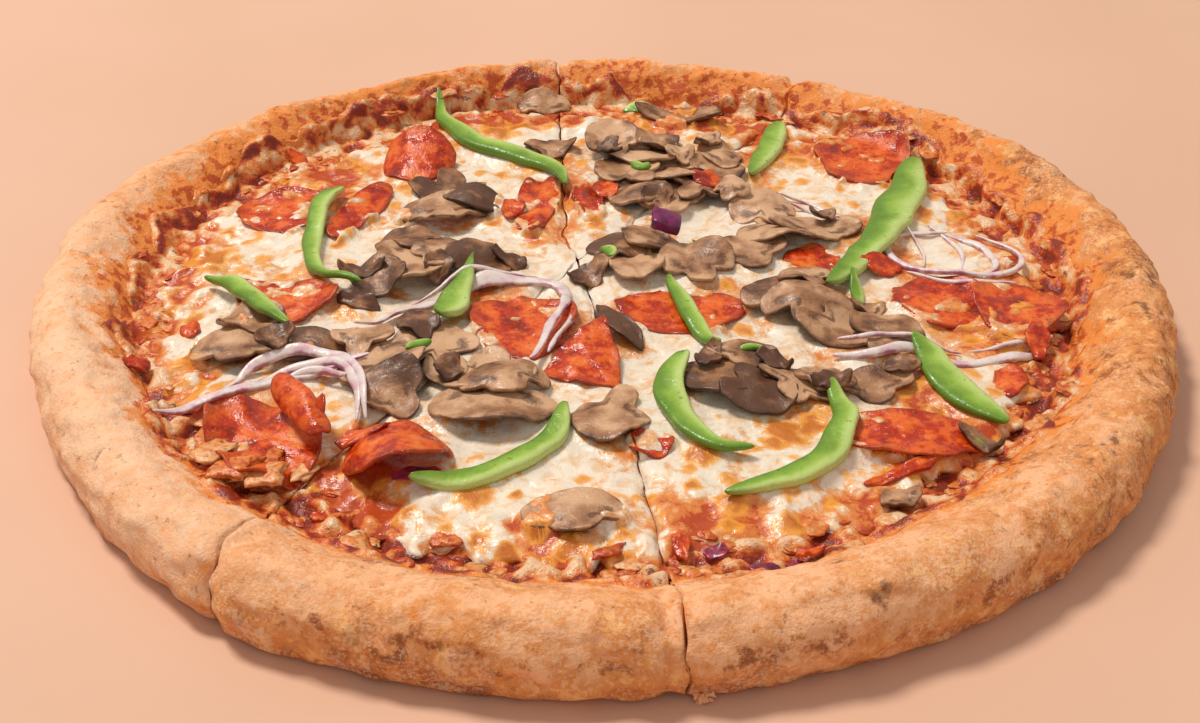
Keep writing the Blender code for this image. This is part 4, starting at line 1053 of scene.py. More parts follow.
def pepper_strips():
    """Name, width, height, softness, fullest place and route of each green pepper strip."""
    return [
        ("pepper_left", 6.5, 4.0, 0.7, 0.5, [(-128, 6), (-116, -3), (-106, -18), (-94, -33)]),
        ("pepper_back_left", 7.0, 4.5, 0.8, 0.35,
         [(-91, 71), (-97, 52), (-95, 22), (-88, 7), (-76, -1)]),
        ("pepper_pale_left", 10.0, 5.0, 0.6, 0.7, [(-41, 14), (-44, -3), (-49, -24)]),
        ("pepper_middle", 6.5, 4.0, 0.7, 0.5, [(22, 6), (25, -8), (30, -24), (36, -40)]),
        ("pepper_front_left", 8.0, 5.0, 0.6, 0.45,
         [(-10, -67), (-14, -84), (-27, -97), (-40, -104), (-52, -106)]),
        ("pepper_front_middle", 9.0, 4.5, 0.6, 0.35,
         [(25, -41), (20, -56), (23, -75), (32, -87), (43, -89)]),
        ("pepper_front_right", 9.0, 5.0, 0.6, 0.45,
         [(67, -59), (69, -77), (62, -94), (48, -104), (33, -110)]),
        ("pepper_right", 12.0, 4.5, 0.7, 0.55, [(95, -31), (100, -46), (107, -63), (116, -76)]),
        ("pepper_tall_right", 14.0, 6.0, 0.5, 0.4,
         [(115, 93), (109, 70), (97, 41), (85, 17), (72, -3)]),
        ("pepper_back_right", 9.5, 5.0, 0.6, 0.4, [(69, 129), (65, 113), (60, 98), (54, 82)]),
        ("pepper_far_left", 9.0, 5.0, 0.6, 0.55,
         [(-63, 149), (-58, 128), (-46, 110), (-30, 99), (-17, 86), (-12, 71)]),
    ]


def lump_skin(at, size, turn, ground, tone):
    """A small uneven lump of cheese, sauce or crumb lying on the ground height."""
    polar = np.linspace(0.0, math.pi, LUMP_RINGS)[:, None]
    angle = 2.0 * math.pi * np.arange(LUMP_COLUMNS)[None, :] / LUMP_COLUMNS
    x = np.sin(polar) * np.cos(angle)
    y = np.sin(polar) * np.sin(angle)
    z = np.cos(polar) + 0.0 * angle
    uneven = 1.0 + 0.8 * bumps(x, y, z + at[0] + 3.0 * at[1], 0.9)
    x, y, z = x * uneven * size[0] / 2.0, y * uneven * size[1] / 2.0, z * uneven * size[2] / 2.0
    c, s = math.cos(turn), math.sin(turn)
    points = np.stack([at[0] + c * x - s * y, at[1] + s * x + c * y, ground + z - 0.12 * size[2]], -1)
    marks = {"tone": np.full(x.shape, tone), "top": np.broadcast_to(np.cos(polar), x.shape)}
    return closed_skin(points, marks)


def lay_bits(trees, look):
    """Browned cheese and sauce, clotted on the ring between the cheese and the rim."""
    spots = []
    for _ in range(BIT_COUNT):
        angle = LUCK.uniform(-math.pi, math.pi)
        inner = cheese_radius(angle) - 6.0
        outer = sauce_radius(angle) - 1.0
        radius = inner + (outer - inner) * LUCK.uniform(0.0, 1.0)
        long = 3.6 + 7.0 * LUCK.uniform(0.0, 1.0) ** 2
        size = (long, long * LUCK.uniform(0.45, 0.9), long * LUCK.uniform(0.14, 0.22))
        spots.append((radius * math.cos(angle), radius * math.sin(angle), size))
    x = np.array([spot[0] for spot in spots])
    y = np.array([spot[1] for spot in spots])
    ground = heights_on(trees, x, y)
    lumps = []
    for (bx, by, size), height in zip(spots, ground):
        turn = math.atan2(by, bx) + math.pi / 2.0 + LUCK.uniform(-0.9, 0.9)
        tone = LUCK.uniform(0.05, 0.75)
        if height > 0.0:
            lumps.append(lump_skin((bx, by), size, turn, height, tone))
    make_piece("ring_bits", joined(lumps), look)


# Lumps of cheese over the lower edge of the folded slice: place, length, width and tone
OVER_FOLD = [
    (-107, -91, 13, 9, 0.65), (-99, -98, 14, 10, 0.35), (-90, -101, 12, 9, 0.60), (-113, -83, 10, 8, 0.40),
    (-82, -96, 9, 7, 0.70), (-101, -88, 9, 6, 0.75), (-92, -93, 10, 7, 0.30), (-110, -98, 9, 7, 0.30),
]


def lay_lumps(trees, look):
    """Cheese that has run over the folded slice from the ring in front of it."""
    lumps = []
    for x, y, long, wide, tone in OVER_FOLD:
        ground = float(heights_on(trees, np.array([x]), np.array([y]))[0])
        lumps.append(lump_skin((x, y), (long, wide, 0.17 * long), 0.7 + 0.03 * x, ground, tone))
    make_piece("cheese_lumps", joined(lumps), look)


def lay_crumbs(look):
    """Crumbs in the front cut, at its foot."""
    lumps = []
    for _ in range(CRUMB_COUNT):
        at = (CRUMB_PLACE[0] + LUCK.uniform(-2.0, 2.0), CRUMB_PLACE[1] + LUCK.uniform(-1.2, 1.2))
        long = LUCK.uniform(0.8, 2.2)
        ground = LUCK.uniform(0.2, 2.6)
        lumps.append(lump_skin(at, (long, 0.7 * long, 0.7 * long), LUCK.uniform(0.0, 3.0), ground, 0.2))
    make_piece("cut_crumbs", joined(lumps).unmarked(), look)


# Green pepper scraps: width, height and route
PEPPER_SCRAPS = [
    (4.5, 3.0, [(82, 9), (83, -2), (82, -12)]), (5.0, 2.4, [(9, 150), (15, 152), (22, 150)]),
    (5.0, 2.6, [(-58, -45), (-54, -42), (-51, -38)]), (4.0, 2.2, [(42, -42), (46, -39), (50, -40)]),
    (4.0, 2.2, [(11, 87), (15, 84), (18, 86)]), (3.6, 2.2, [(0, 24), (3, 21), (4, 17)]),
    (3.2, 2.0, [(31, 36), (36, 34), (40, 35)]), (3.0, 1.8, [(104, -81), (107, -84), (110, -86)]),
]

# Mushroom scraps: at, size, turn, lean, bend, stem and darkness
MUSHROOM_SCRAPS = [
    ((107, -84), (17, 7), -40, 6, 8, 0.2, 0.8), ((-18, 109), (20, 12), 10, 3, 24, 0.4, 0.4),
    ((-22, 151), (22, 9), 5, 6, -20, 0.3, 0.4), ((81, -108), (12, 9), 20, 5, 12, 0.3, 0.5),
    ((-77, 8), (17, 8), 10, 12, 10, 0.2, 0.8), ((-77, -6), (15, 6), -10, 10, -10, 0.2, 0.9),
    ((-4, 12), (15, 10), 30, 12, 12, 0.4, 0.7), ((20, 60), (14, 10), 40, 14, 9, 0.4, 0.8),
    ((46, 64), (14, 12), -20, 12, -9, 0.6, 0.3), ((29, 95), (12, 10), 20, 16, 8, 0.5, 0.2),
    ((3, 98), (12, 9), 70, 12, 9, 0.5, 0.7), ((84, -12), (14, 9), 30, 10, 10, 0.4, 0.6),
    ((52, -48), (13, 8), -30, 14, 8, 0.4, 0.9), ((90, -48), (12, 8), 15, 10, -9, 0.4, 0.8),
    ((-45, -52), (13, 9), 80, 14, 8, 0.4, 0.6), ((-98, -38), (14, 9), 30, 10, 9, 0.4, 0.7),
    ((-52, 8), (13, 9), -40, 12, 8, 0.4, 0.8), ((-30, 20), (13, 8), 10, 10, 8, 0.3, 0.9),
    ((76, 47), (12, 8), 40, 14, 7, 0.4, 0.5), ((40, 108), (14, 9), 60, 10, 9, 0.4, 0.4),
    ((32, -47), (12, 8), 60, 12, 7, 0.4, 1.0), ((67, -60), (14, 7), 10, 12, 9, 0.4, 0.7),
]

# Thin onion threads: width and route
ONION_THREADS = [
    (1.8, [(63, 66), (74, 62), (84, 52)]), (1.6, [(66, 60), (76, 55), (82, 46)]),
    (1.5, [(102, 42), (108, 30), (106, 16)]), (1.4, [(112, 46), (120, 30), (118, 12)]),
    (1.6, [(100, 14), (116, 4), (136, 8)]), (1.5, [(-60, -8), (-40, 6), (-20, 9)]),
    (1.6, [(-100, -56), (-86, -50), (-74, -56)]), (1.4, [(72, -32), (92, -33), (110, -36)]),
    (1.5, [(112, -33), (126, -31), (140, -26)]), (1.8, [(-8, -14), (-12, -28), (-16, -40)]),
]

# Purple onion bits: at, size and turn
PURPLE_BITS = [
    ((-51, -97), (14, 7), 10), ((30, -130), (7, 5), 20), ((42, -137), (8, 4), 0), ((50, -136), (5, 3), 10),
]

# Sausage scraps: at, size and turn
SAUSAGE_SCRAPS = [
    ((92, 14), (13, 9), 0), ((-139, -43), (8, 6), 40), ((21, -128), (5, 10), 5), ((54, -134), (8, 4), 20),
    ((84, -97), (26, 4), 25), ((-74, -113), (9, 5), -10), ((-66, -84), (16, 8), 30),
    ((-112, 104), (7, 6), 0), ((2, 70), (9, 13), 20), ((-30, 56), (8, 12), -20), ((38, 72), (12, 10), 0),
    ((122, -50), (10, 14), -20), ((134, -30), (8, 16), -10), ((-128, -20), (7, 9), 0),
]


def lay_small_things(table, looks):
    """Toppings too small for solids of their own, one piece for each kind."""
    def draped(skins, soft, sink):
        return [table.drape(skin, soft, sink) for skin in skins]

    pepper = [strip_skin(route, width, height, 0.5, 0.3, wrinkle=0.2)
              for width, height, route in PEPPER_SCRAPS]
    mushroom = [slice_skin(at, size, MUSHROOM_SCRAP, turn, lean, bend=bend, wave=0.5, kind="mushroom",
                           sharp=stem, ruffle=1.1, rough=1.0, lip=0.3, dark=dark)
                for at, size, turn, lean, bend, stem, dark in MUSHROOM_SCRAPS]
    onion = [strip_skin(route, width, ONION_THREAD, 0.4, sides=8, wrinkle=0.4)
             for width, route in ONION_THREADS]
    purple = [slice_skin(at, size, PURPLE_BIT, turn, 3, ruffle=0.6, rough=0.5)
              for at, size, turn in PURPLE_BITS]
    for bit, (at, _, _) in zip(purple, PURPLE_BITS):
        bit.points[:, 2] += float(cheese_height(np.array(at[0]), np.array(at[1]))) + 0.6
    sausage = [slice_skin(at, size, SAUSAGE_SCRAP, turn, 2, ruffle=1.0, rough=1.0)
               for at, size, turn in SAUSAGE_SCRAPS]
    rolled_edge = slice_skin((-84.5, -77), (14, 30), SAUSAGE_SCRAP, turn=32, lean=6, bend=-4.0,
                             ruffle=0.4, rough=0.8)
    groups = {
        "pepper": draped(pepper, soft=0.8, sink=0.7),
        "mushroom": draped(mushroom, soft=0.9, sink=0.9),
        "onion": draped(onion, soft=1.0, sink=0.7),
        "purple": purple,
        "pepperoni": draped(sausage, soft=0.8, sink=1.0) + draped([rolled_edge], soft=0.5, sink=1.5),
    }
    for kind, skins in groups.items():
        make_piece(f"small_{kind}", joined(skins), looks[kind])
    return groups


# Toppings that cheese may have run over
LOW_SLICES = [
    "pepperoni_far_right", "pepperoni_right_inner", "pepperoni_right_outer", "pepperoni_middle_right",
    "pepperoni_middle", "pepperoni_back_left", "pepperoni_behind_pepper", "pepperoni_left", "pepperoni_torn",
    "pepperoni_torn_right", "pepperoni_front_right", "pepperoni_small_right", "pepperoni_scrap",
    "mushroom_front", "mushroom_far_back", "mushrooms_left", "mushrooms_back_left_outer",
]


def lay_heap(table, skins, soft, sink):
    """Skins laid on one another as one skin, each sunk a little into those below it."""
    laid = []
    for skin in skins:
        laid.append(table.drape(skin, soft, sink if laid else 0.0))
        table.add(laid[-1])
    return joined(laid)


def lay_toppings(table, looks):
    """Every topping that has a solid, as fine pieces; gives back their skins by name."""
    skins = {}

    def put(name, skin, kind):
        fit_height(skin, name)
        make_piece(f"fine_{name}", skin, looks[kind], [name])
        skins[name] = skin
        table.add(solid_skin(name))

    for name, soft, shape in pepperoni_slices():
        skin = slice_skin(thick=SAUSAGE_THICKNESS, ruffle=0.7, rough=0.9, lip=0.8, **shape)
        put(name, table.drape(skin, soft), "pepperoni")
    for name, values in mushroom_singles().items():
        put(name, table.drape(mushroom_skin(*values), 0.9), "mushroom")
    for name, slices in mushroom_heaps().items():
        heap = [mushroom_skin(*values) for values in slices]
        put(name, lay_heap(table, heap, soft=0.9, sink=1.4), "mushroom")
    for name, strands in onion_strands().items():
        strips = [strip_skin(route, width, ONION_THICKNESS, 0.4, sides=12, wrinkle=0.2)
                  for width, route in strands]
        put(name, lay_heap(table, strips, soft=1.0, sink=1.7), "onion")
    chunk = slice_skin((22, 31), (13, 14), CHUNK_THICKNESS, turn=40, lean=18, kind="square", sharp=0.9,
                       ruffle=0.2, rough=0.3)
    put("onion_chunk", table.drape(chunk, soft=0.4), "chunk")
    for name, width, height, soft, fullest, route in pepper_strips():
        skin = strip_skin(route, width, height, 0.55, 0.18 * height, fullest, wrinkle=0.08)
        put(name, table.drape(skin, soft), "pepper")
    return skins


# Colours, linear
PALE_CRUST = (0.92, 0.48, 0.25)
TAN_CRUST = (0.76, 0.29, 0.088)
BROWN_CRUST = (0.30, 0.080, 0.022)
CREAM_CRUST = (0.96, 0.62, 0.40)
FLOUR = (0.95, 0.62, 0.40)
DEEP_CRUST = (0.58, 0.185, 0.042)
# Pale gold of toasted crust, also used as a painted highlight
GOLD_CRUST_AND_HIGHLIGHT = (1.0, 0.56, 0.21)
STAIN = (0.88, 0.27, 0.040)
CHAR = (0.10, 0.035, 0.022)
SAUCE_RED = (0.48, 0.050, 0.009)
# Darkest sauce, also used as painted shade in the hollows between lumps
SAUCE_DARK_AND_SHADE = (0.25, 0.026, 0.008)
OIL_ORANGE = (0.74, 0.21, 0.035)
TAN_CHEESE = (0.78, 0.38, 0.15)
BURNT = (0.085, 0.022, 0.010)
WHITE_CHEESE = (0.89, 0.78, 0.645)
CREAM_CHEESE = (0.84, 0.58, 0.36)
BLISTER_GOLD = (0.88, 0.37, 0.045)
BLISTER_BROWN = (0.55, 0.14, 0.012)
SAUSAGE_RED = (0.50, 0.030, 0.004)
SAUSAGE_ORANGE = (0.78, 0.115, 0.006)
SAUSAGE_DARK = (0.24, 0.020, 0.006)
SAUSAGE_FAT = (0.82, 0.27, 0.05)
MUSHROOM_PALE = (0.66, 0.39, 0.22)
MUSHROOM_TAN = (0.36, 0.165, 0.075)
MUSHROOM_BROWN = (0.11, 0.042, 0.020)
# Dark edge of the slices, also used as painted shade on their undersides
MUSHROOM_DARK_AND_SHADE = (0.034, 0.018, 0.012)
PEPPER_GREEN = (0.33, 0.52, 0.055)
PEPPER_DARK = (0.12, 0.25, 0.015)
PEPPER_PALE = (0.62, 0.72, 0.27)
PEPPER_SCORCH = (0.10, 0.09, 0.01)
ONION_WHITE = (0.82, 0.70, 0.66)
ONION_LILAC = (0.68, 0.42, 0.48)
ONION_PURPLE = (0.34, 0.05, 0.15)
CHUNK_LIGHT = (0.22, 0.008, 0.095)
CHUNK_DARK = (0.10, 0.004, 0.05)
RED_ONION = (0.46, 0.04, 0.10)
RED_ONION_DARK = (0.13, 0.012, 0.035)
FLOOR_DARK = (0.72, 0.44, 0.30)
FLOOR_LIGHT = (0.76, 0.47, 0.33)

# What every material shares: the coat's roughness, and how far each colour of light scatters, in metres
COAT_ROUGHNESS = 0.25
SCATTER_SHARES = (1.0, 0.5, 0.25)
SCATTER_SIZE = 0.002


class Look:
    """A Principled material that is built up node by node, its colour in coats over a base."""

    def __init__(self, name, roughness=0.5, specular=0.5, coat=0.0, scatter=0.0):
        self.material = bpy.data.materials.new(name)
        self.material.use_nodes = True
        self.nodes = self.material.node_tree.nodes
        self.links = self.material.node_tree.links
        self.shader = self.nodes["Principled BSDF"]
        settings = {
            "Roughness": roughness, "Specular IOR Level": specular, "Coat Weight": coat,
            "Coat Roughness": COAT_ROUGHNESS, "Subsurface Weight": scatter,
            "Subsurface Radius": SCATTER_SHARES, "Subsurface Scale": SCATTER_SIZE,
        }
        for socket, value in settings.items():
            self.shader.inputs[socket].default_value = value
        self.place = self.nodes.new("ShaderNodeTexCoord").outputs["Object"]

    def set(self, socket, value):
        if hasattr(value, "is_output"):
            self.links.new(value, socket)
        elif isinstance(value, tuple):
            socket.default_value = (*value, 1.0)
        else:
            socket.default_value = value

    def mark(self, name):
        node = self.nodes.new("ShaderNodeAttribute")
        node.attribute_name = name
        return node.outputs["Fac"]

    def noise(self, size, detail=2.0, shift=0.0, rough=0.55, warp=0.0):
        """Noise with lumps of a size in millimetres, about 0 to 1."""
        node = self.nodes.new("ShaderNodeTexNoise")
        node.inputs["Scale"].default_value = 1.0 / (size * MM)
        node.inputs["Detail"].default_value = detail
        node.inputs["Roughness"].default_value = rough
        node.inputs["Distortion"].default_value = warp
        mapping = self.nodes.new("ShaderNodeMapping")
        mapping.inputs["Location"].default_value = (shift, 0.3 * shift, 0.7 * shift)
        self.links.new(self.place, mapping.inputs["Vector"])
        self.links.new(mapping.outputs["Vector"], node.inputs["Vector"])
        return node.outputs["Fac"]

    def sum(self, first, second, operation="ADD"):
        node = self.nodes.new("ShaderNodeMath")
        node.operation = operation
        self.set(node.inputs[0], first)
        self.set(node.inputs[1], second)
        return node.outputs[0]

    def times(self, first, second):
        return self.sum(first, second, "MULTIPLY")

    def uneven(self, value, *noises):
        """A value with noises added, each about its middle and times its own factor."""
        for noise_value, factor in noises:
            value = self.sum(value, self.times(self.sum(noise_value, -0.5), factor))
        return value

    def step(self, value, low, high, least=0.0, most=1.0):
        node = self.nodes.new("ShaderNodeMapRange")
        node.interpolation_type = "SMOOTHSTEP"
        self.set(node.inputs["Value"], value)
        node.inputs["From Min"].default_value = low
        node.inputs["From Max"].default_value = high
        node.inputs["To Min"].default_value = least
        node.inputs["To Max"].default_value = most
        return node.outputs["Result"]

    def blend(self, share, first, second):
        node = self.nodes.new("ShaderNodeMix")
        node.data_type = "RGBA"
        self.set(node.inputs["Factor"], share)
        self.set(node.inputs["A"], first)
        self.set(node.inputs["B"], second)
        return node.outputs["Result"]

    def base(self, value, low, high, first, second):
        """Start with one colour where a value is low and another where it is high."""
        self.colour = self.blend(self.step(value, low, high), first, second)

    def cover(self, share, paint):
        """Lay one more colour over the ones so far."""
        self.colour = self.blend(share, self.colour, paint)

    def coats(self, value, *coats):
        """Cover in turn, each time from where a value is low to where it is high, up to a share."""
        for low, high, most, paint in coats:
            self.cover(self.step(value, low, high, 0.0, most), paint)

    def finish(self, roughness=None, height=None, depth=0.3, strength=0.6):
        """Connect the colour, the roughness and a bump of a depth in millimetres."""
        self.links.new(self.colour, self.shader.inputs["Base Color"])
        if roughness is not None:
            self.set(self.shader.inputs["Roughness"], roughness)
        if height is not None:
            bump = self.nodes.new("ShaderNodeBump")
            bump.inputs["Distance"].default_value = depth * MM
            bump.inputs["Strength"].default_value = strength
            self.links.new(height, bump.inputs["Height"])
            self.links.new(bump.outputs["Normal"], self.shader.inputs["Normal"])
        return self.material


def crust_look():
    look = Look("baked_crust", 0.82, 0.3, scatter=0.05)
    fine = look.noise(0.9, 3.0, 0.1, 0.65)
    mottle = look.noise(4.0, 4.0, 0.4, 0.6)
    broad = look.noise(14.0, 3.0, 0.9)
    # The toasting mark also carries painted shade that darkens the lower outer side.
    toast_and_shade = look.uneven(look.mark("toast_and_shade"), (mottle, 1.4), (broad, 1.2), (fine, 0.4))
    look.base(toast_and_shade, 0.15, 0.75, PALE_CRUST, TAN_CRUST)
    look.coats(mottle, (0.46, 0.62, 0.6, TAN_CRUST))
    look.coats(toast_and_shade, (0.8, 1.3, 0.9, DEEP_CRUST))
    # Pale gold patches on toasted crust: partly the crust's own colour, partly painted highlight.
    patch = look.uneven(look.noise(7.0, 3.0, 5.3, 0.6), (look.noise(2.0, 2.0, 7.3), 0.4))
    look.cover(look.times(look.step(patch, 0.52, 0.68), look.step(toast_and_shade, 0.3, 0.9, 0.0, 0.75)), GOLD_CRUST_AND_HIGHLIGHT)
    look.cover(look.times(look.step(patch, 0.47, 0.34), look.step(toast_and_shade, 0.5, 1.0, 0.0, 0.5)), BROWN_CRUST)
    # The brown mark also carries the painted shade band along the foot of the outer side.
    brown = look.uneven(look.mark("brown"), (mottle, 2.2), (fine, 1.0))
    look.coats(brown, (0.35, 0.95, 0.85, BROWN_CRUST))
    pale = look.uneven(look.mark("pale"), (broad, 1.6), (mottle, 3.0))
    look.coats(pale, (0.3, 1.3, 0.85, CREAM_CRUST))
    flour = look.uneven(look.noise(1.1, 3.0, 1.7, 0.7), (broad, 0.5))
    look.coats(flour, (0.50, 0.66, 0.50, FLOUR))
    look.coats(look.noise(2.4, 3.0, 2.9, 0.65), (0.61, 0.70, 0.50, BROWN_CRUST))
    smear = look.noise(4.5, 3.0, 3.7, 0.6)
    stain = look.uneven(look.mark("stain"), (smear, 2.4), (fine, 0.5))
    look.coats(stain, (0.22, 0.75, 0.9, STAIN))
    look.cover(look.step(look.uneven(look.mark("stain"), (mottle, 3.6)), 0.75, 1.15, 0.0, 0.8), SAUCE_RED)
    char = look.uneven(look.mark("char"), (look.noise(2.6, 3.0, 6.1), 1.6))
    look.coats(char, (0.40, 1.0, 0.75, CHAR))
    height = look.uneven(0.5, (fine, 0.6), (mottle, 0.7))
    return look.finish(look.step(stain, 0.4, 0.9, 0.82, 0.45), height, 1.4, 0.6)


def sauce_look():
    look = Look("tomato_sauce", 0.35, 0.5, scatter=0.05)
    fine = look.noise(1.1, 3.0, 0.2)
    middle = look.noise(3.2, 3.0, 0.6, 0.6)
    broad = look.noise(9.0, 2.0, 0.9)
    lump = look.uneven(look.times(look.mark("lump"), 1.1), (middle, 1.6), (broad, 1.3))
    lump = look.sum(lump, look.times(look.mark("behind"), 0.30))
    # Colour follows the lumps' height: the hollows between lumps are darkest, partly darker sauce and partly
    # painted shade.
    look.base(lump, -0.40, -0.05, SAUCE_DARK_AND_SHADE, SAUCE_RED)
    look.coats(lump, (-0.10, 0.18, 0.9, OIL_ORANGE), (0.22, 0.42, 0.9, TAN_CHEESE),
               (0.45, 0.7, 0.8, CREAM_CHEESE))
    look.coats(look.noise(4.0, 3.0, 4.4), (0.61, 0.69, 0.75, BURNT))
    look.cover(look.step(look.uneven(look.mark("inner"), (middle, 1.5)), 0.1, 0.6, 0.8, 0.0), STAIN)
    height = look.uneven(0.5, (fine, 0.4), (middle, 1.0))
    return look.finish(look.step(fine, 0.35, 0.65, 0.2, 0.5), height, 1.5, 0.7)


def cheese_look():
    look = Look("melted_cheese", 0.34, 0.5, scatter=0.10)
    fine = look.noise(0.9, 3.0, 0.2)
    small = look.noise(2.0, 3.0, 0.7, 0.6)
    middle = look.noise(5.0, 3.0, 1.3, 0.6, 0.6)
    look.base(middle, 0.42, 0.68, WHITE_CHEESE, CREAM_CHEESE)
    thin = look.uneven(look.mark("thin"), (middle, 0.9), (small, 0.8), (fine, 0.3))
    look.coats(thin, (0.16, 0.42, 0.9, TAN_CHEESE), (0.38, 0.62, 0.9, OIL_ORANGE),
               (0.64, 0.90, 0.9, SAUCE_RED))
    blister = look.uneven(look.mark("blister"), (small, 0.7), (fine, 0.3))
    look.coats(blister, (0.08, 0.50, 0.9, BLISTER_GOLD),
               (0.40, 1.05, 0.85, BLISTER_BROWN), (1.0, 1.5, 0.7, BURNT))
    height = look.uneven(0.5, (fine, 0.3), (small, 0.8))
    return look.finish(look.step(small, 0.35, 0.65, 0.18, 0.42), height, 0.8, 0.5)


def bits_look():
    look = Look("browned_bits", 0.35, 0.5, scatter=0.05)
    small = look.noise(1.6, 3.0, 0.7, 0.6)
    tone = look.uneven(look.mark("tone"), (small, 1.4))
    look.base(tone, 0.15, 0.40, SAUCE_RED, OIL_ORANGE)
    look.coats(tone, (0.45, 0.65, 1.0, TAN_CHEESE), (0.75, 0.95, 1.0, CREAM_CHEESE))
    top = look.uneven(look.mark("top"), (look.noise(3.0, 2.0, 4.7), 4.0))
    look.coats(top, (0.7, 1.4, 0.6, BLISTER_BROWN))
    look.coats(look.noise(2.4, 2.0, 3.1), (0.63, 0.70, 0.6, BURNT))
    return look.finish(0.35, small, 0.8, 0.5)


def pepperoni_look():
    look = Look("sausage", 0.33, 0.5, scatter=0.05)
    fine = look.noise(1.0, 3.0, 0.2, 0.6)
    middle = look.noise(3.0, 3.0, 0.6, 0.65)
    broad = look.noise(9.0, 2.0, 0.8)
    tone = look.uneven(0.47, (middle, 2.2), (broad, 3.0))
    look.base(tone, 0.2, 0.75, SAUSAGE_RED, SAUSAGE_ORANGE)
    look.coats(tone, (0.8, 1.2, 0.6, SAUSAGE_FAT), (0.2, -0.2, 0.85, SAUSAGE_DARK))
    rim = look.uneven(look.mark("share"), (middle, 1.0))
    look.coats(rim, (0.82, 1.05, 0.6, SAUSAGE_DARK))
    look.coats(look.noise(1.5, 2.0, 2.2, 0.6), (0.61, 0.68, 0.4, SAUSAGE_FAT))
    look.coats(look.noise(1.8, 2.0, 5.2), (0.63, 0.71, 0.6, BURNT))
    height = look.uneven(0.5, (fine, 0.35), (middle, 1.0))
    return look.finish(look.step(broad, 0.4, 0.6, 0.16, 0.42), height, 0.9, 0.55)


def mushroom_look():
    look = Look("baked_mushroom", 0.45, 0.45, scatter=0.06)
    fine = look.noise(0.8, 3.0, 0.2)
    middle = look.noise(3.2, 3.0, 0.6, 0.6, 0.5)
    broad = look.noise(10.0, 2.0, 1.4)
    dark = look.mark("dark")
    tone = look.sum(look.times(dark, 1.5), look.times(look.mark("share"), 0.15))
    tone = look.uneven(look.sum(tone, -0.24), (broad, 3.0), (middle, 0.9), (fine, 0.5))
    look.base(tone, -0.10, 0.70, MUSHROOM_PALE, MUSHROOM_TAN)
    look.coats(tone, (0.55, 1.25, 0.95, MUSHROOM_BROWN))
    gill = look.uneven(look.mark("gill"), (middle, 0.8), (fine, 0.8))
    look.coats(gill, (0.30, 1.0, 0.8, MUSHROOM_BROWN))
    rim = look.uneven(look.mark("share"), (middle, 0.25), (broad, 0.4))
    rim = look.sum(rim, look.times(dark, 0.05))
    look.coats(rim, (0.93, 1.06, 0.5, MUSHROOM_DARK_AND_SHADE))
    # Painted shade: the slices' undersides are darkened, which shows where their edges curl up.
    under = look.times(look.step(look.mark("upper"), 0.6, 0.4), look.step(broad, 0.4, 0.6, 0.3, 0.9))
    look.cover(under, MUSHROOM_DARK_AND_SHADE)
    height = look.uneven(0.5, (fine, 0.4), (middle, 0.8))
    return look.finish(look.step(middle, 0.35, 0.65, 0.28, 0.55), height, 0.8, 0.5)


def pepper_look():
    look = Look("green_pepper", 0.3, 0.5, scatter=0.05)
    fine = look.noise(1.1, 2.0, 0.2)
    middle = look.noise(4.0, 3.0, 0.6, 0.55, 0.0)
    broad = look.noise(12.0, 2.0, 2.6)
    tone = look.uneven(look.times(look.mark("side"), 0.6), (middle, 0.4), (broad, 1.3))
    look.base(tone, -0.6, 0.4, PEPPER_DARK, PEPPER_GREEN)
    flesh = look.sum(look.mark("side"), look.times(look.mark("upper"), 0.4))
    flesh = look.uneven(flesh, (middle, 0.25), (broad, 0.6))
    look.coats(flesh, (0.35, 1.1, 0.7, PEPPER_PALE))
    end = look.uneven(look.mark("end"), (broad, 0.8))
    look.coats(end, (0.25, 0.85, 0.65, PEPPER_DARK), (0.80, 1.0, 0.5, PEPPER_SCORCH))
    look.coats(look.noise(2.6, 2.0, 2.8), (0.65, 0.74, 0.5, PEPPER_SCORCH))
    height = look.uneven(0.5, (fine, 0.4), (middle, 1.0))
    return look.finish(look.step(fine, 0.35, 0.65, 0.24, 0.44), height, 0.8, 0.5)


def onion_look():
    look = Look("onion_strip", 0.3, 0.5, scatter=0.2)
    middle = look.noise(5.0, 2.0, 0.6)
    edge = look.uneven(look.sum(look.mark("side"), 0.0, "ABSOLUTE"), (middle, 1.2))
    look.base(middle, 0.42, 0.75, ONION_WHITE, ONION_LILAC)
    look.coats(edge, (0.70, 1.10, 0.75, ONION_PURPLE))
    return look.finish(0.3, look.noise(1.5, 2.0, 0.9), 0.6, 0.4)


def purple_look(name, light, dark):
    look = Look(name, 0.3, 0.5, coat=0.1)
    middle = look.noise(3.0, 2.0, 0.6)
    look.base(middle, 0.35, 0.65, light, dark)
    return look.finish(0.3, middle, 0.2, 0.4)


def floor_look():
    look = Look("pale_floor", 0.6, 0.3)
    broad = look.noise(160.0, 2.0, 0.3)
    look.base(broad, 0.3, 0.7, FLOOR_DARK, FLOOR_LIGHT)
    return look.finish()


# The floor, in metres
FLOOR_SIZE = 3.0
FLOOR_MIDDLE = (0.0, 0.6, 0.0)


def make_floor():
    bpy.ops.mesh.primitive_plane_add(size=FLOOR_SIZE, location=FLOOR_MIDDLE)
    floor = bpy.context.object
    floor.name = "floor"
    floor.data.materials.append(floor_look())


# The lamps, which shine at the origin: name, place and size in metres, power in watts and colour
LAMPS = [
    ("key", (-1.0, 0.8, 2.6), 0.7, 66.0, (1.0, 0.95, 0.88)),
    ("fill", (0.4, -1.5, 1.2), 1.4, 3.0, (1.0, 0.93, 0.86)),
]
SKY_COLOUR = (1.0, 0.95, 0.90, 1.0)
SKY_STRENGTH = 0.42

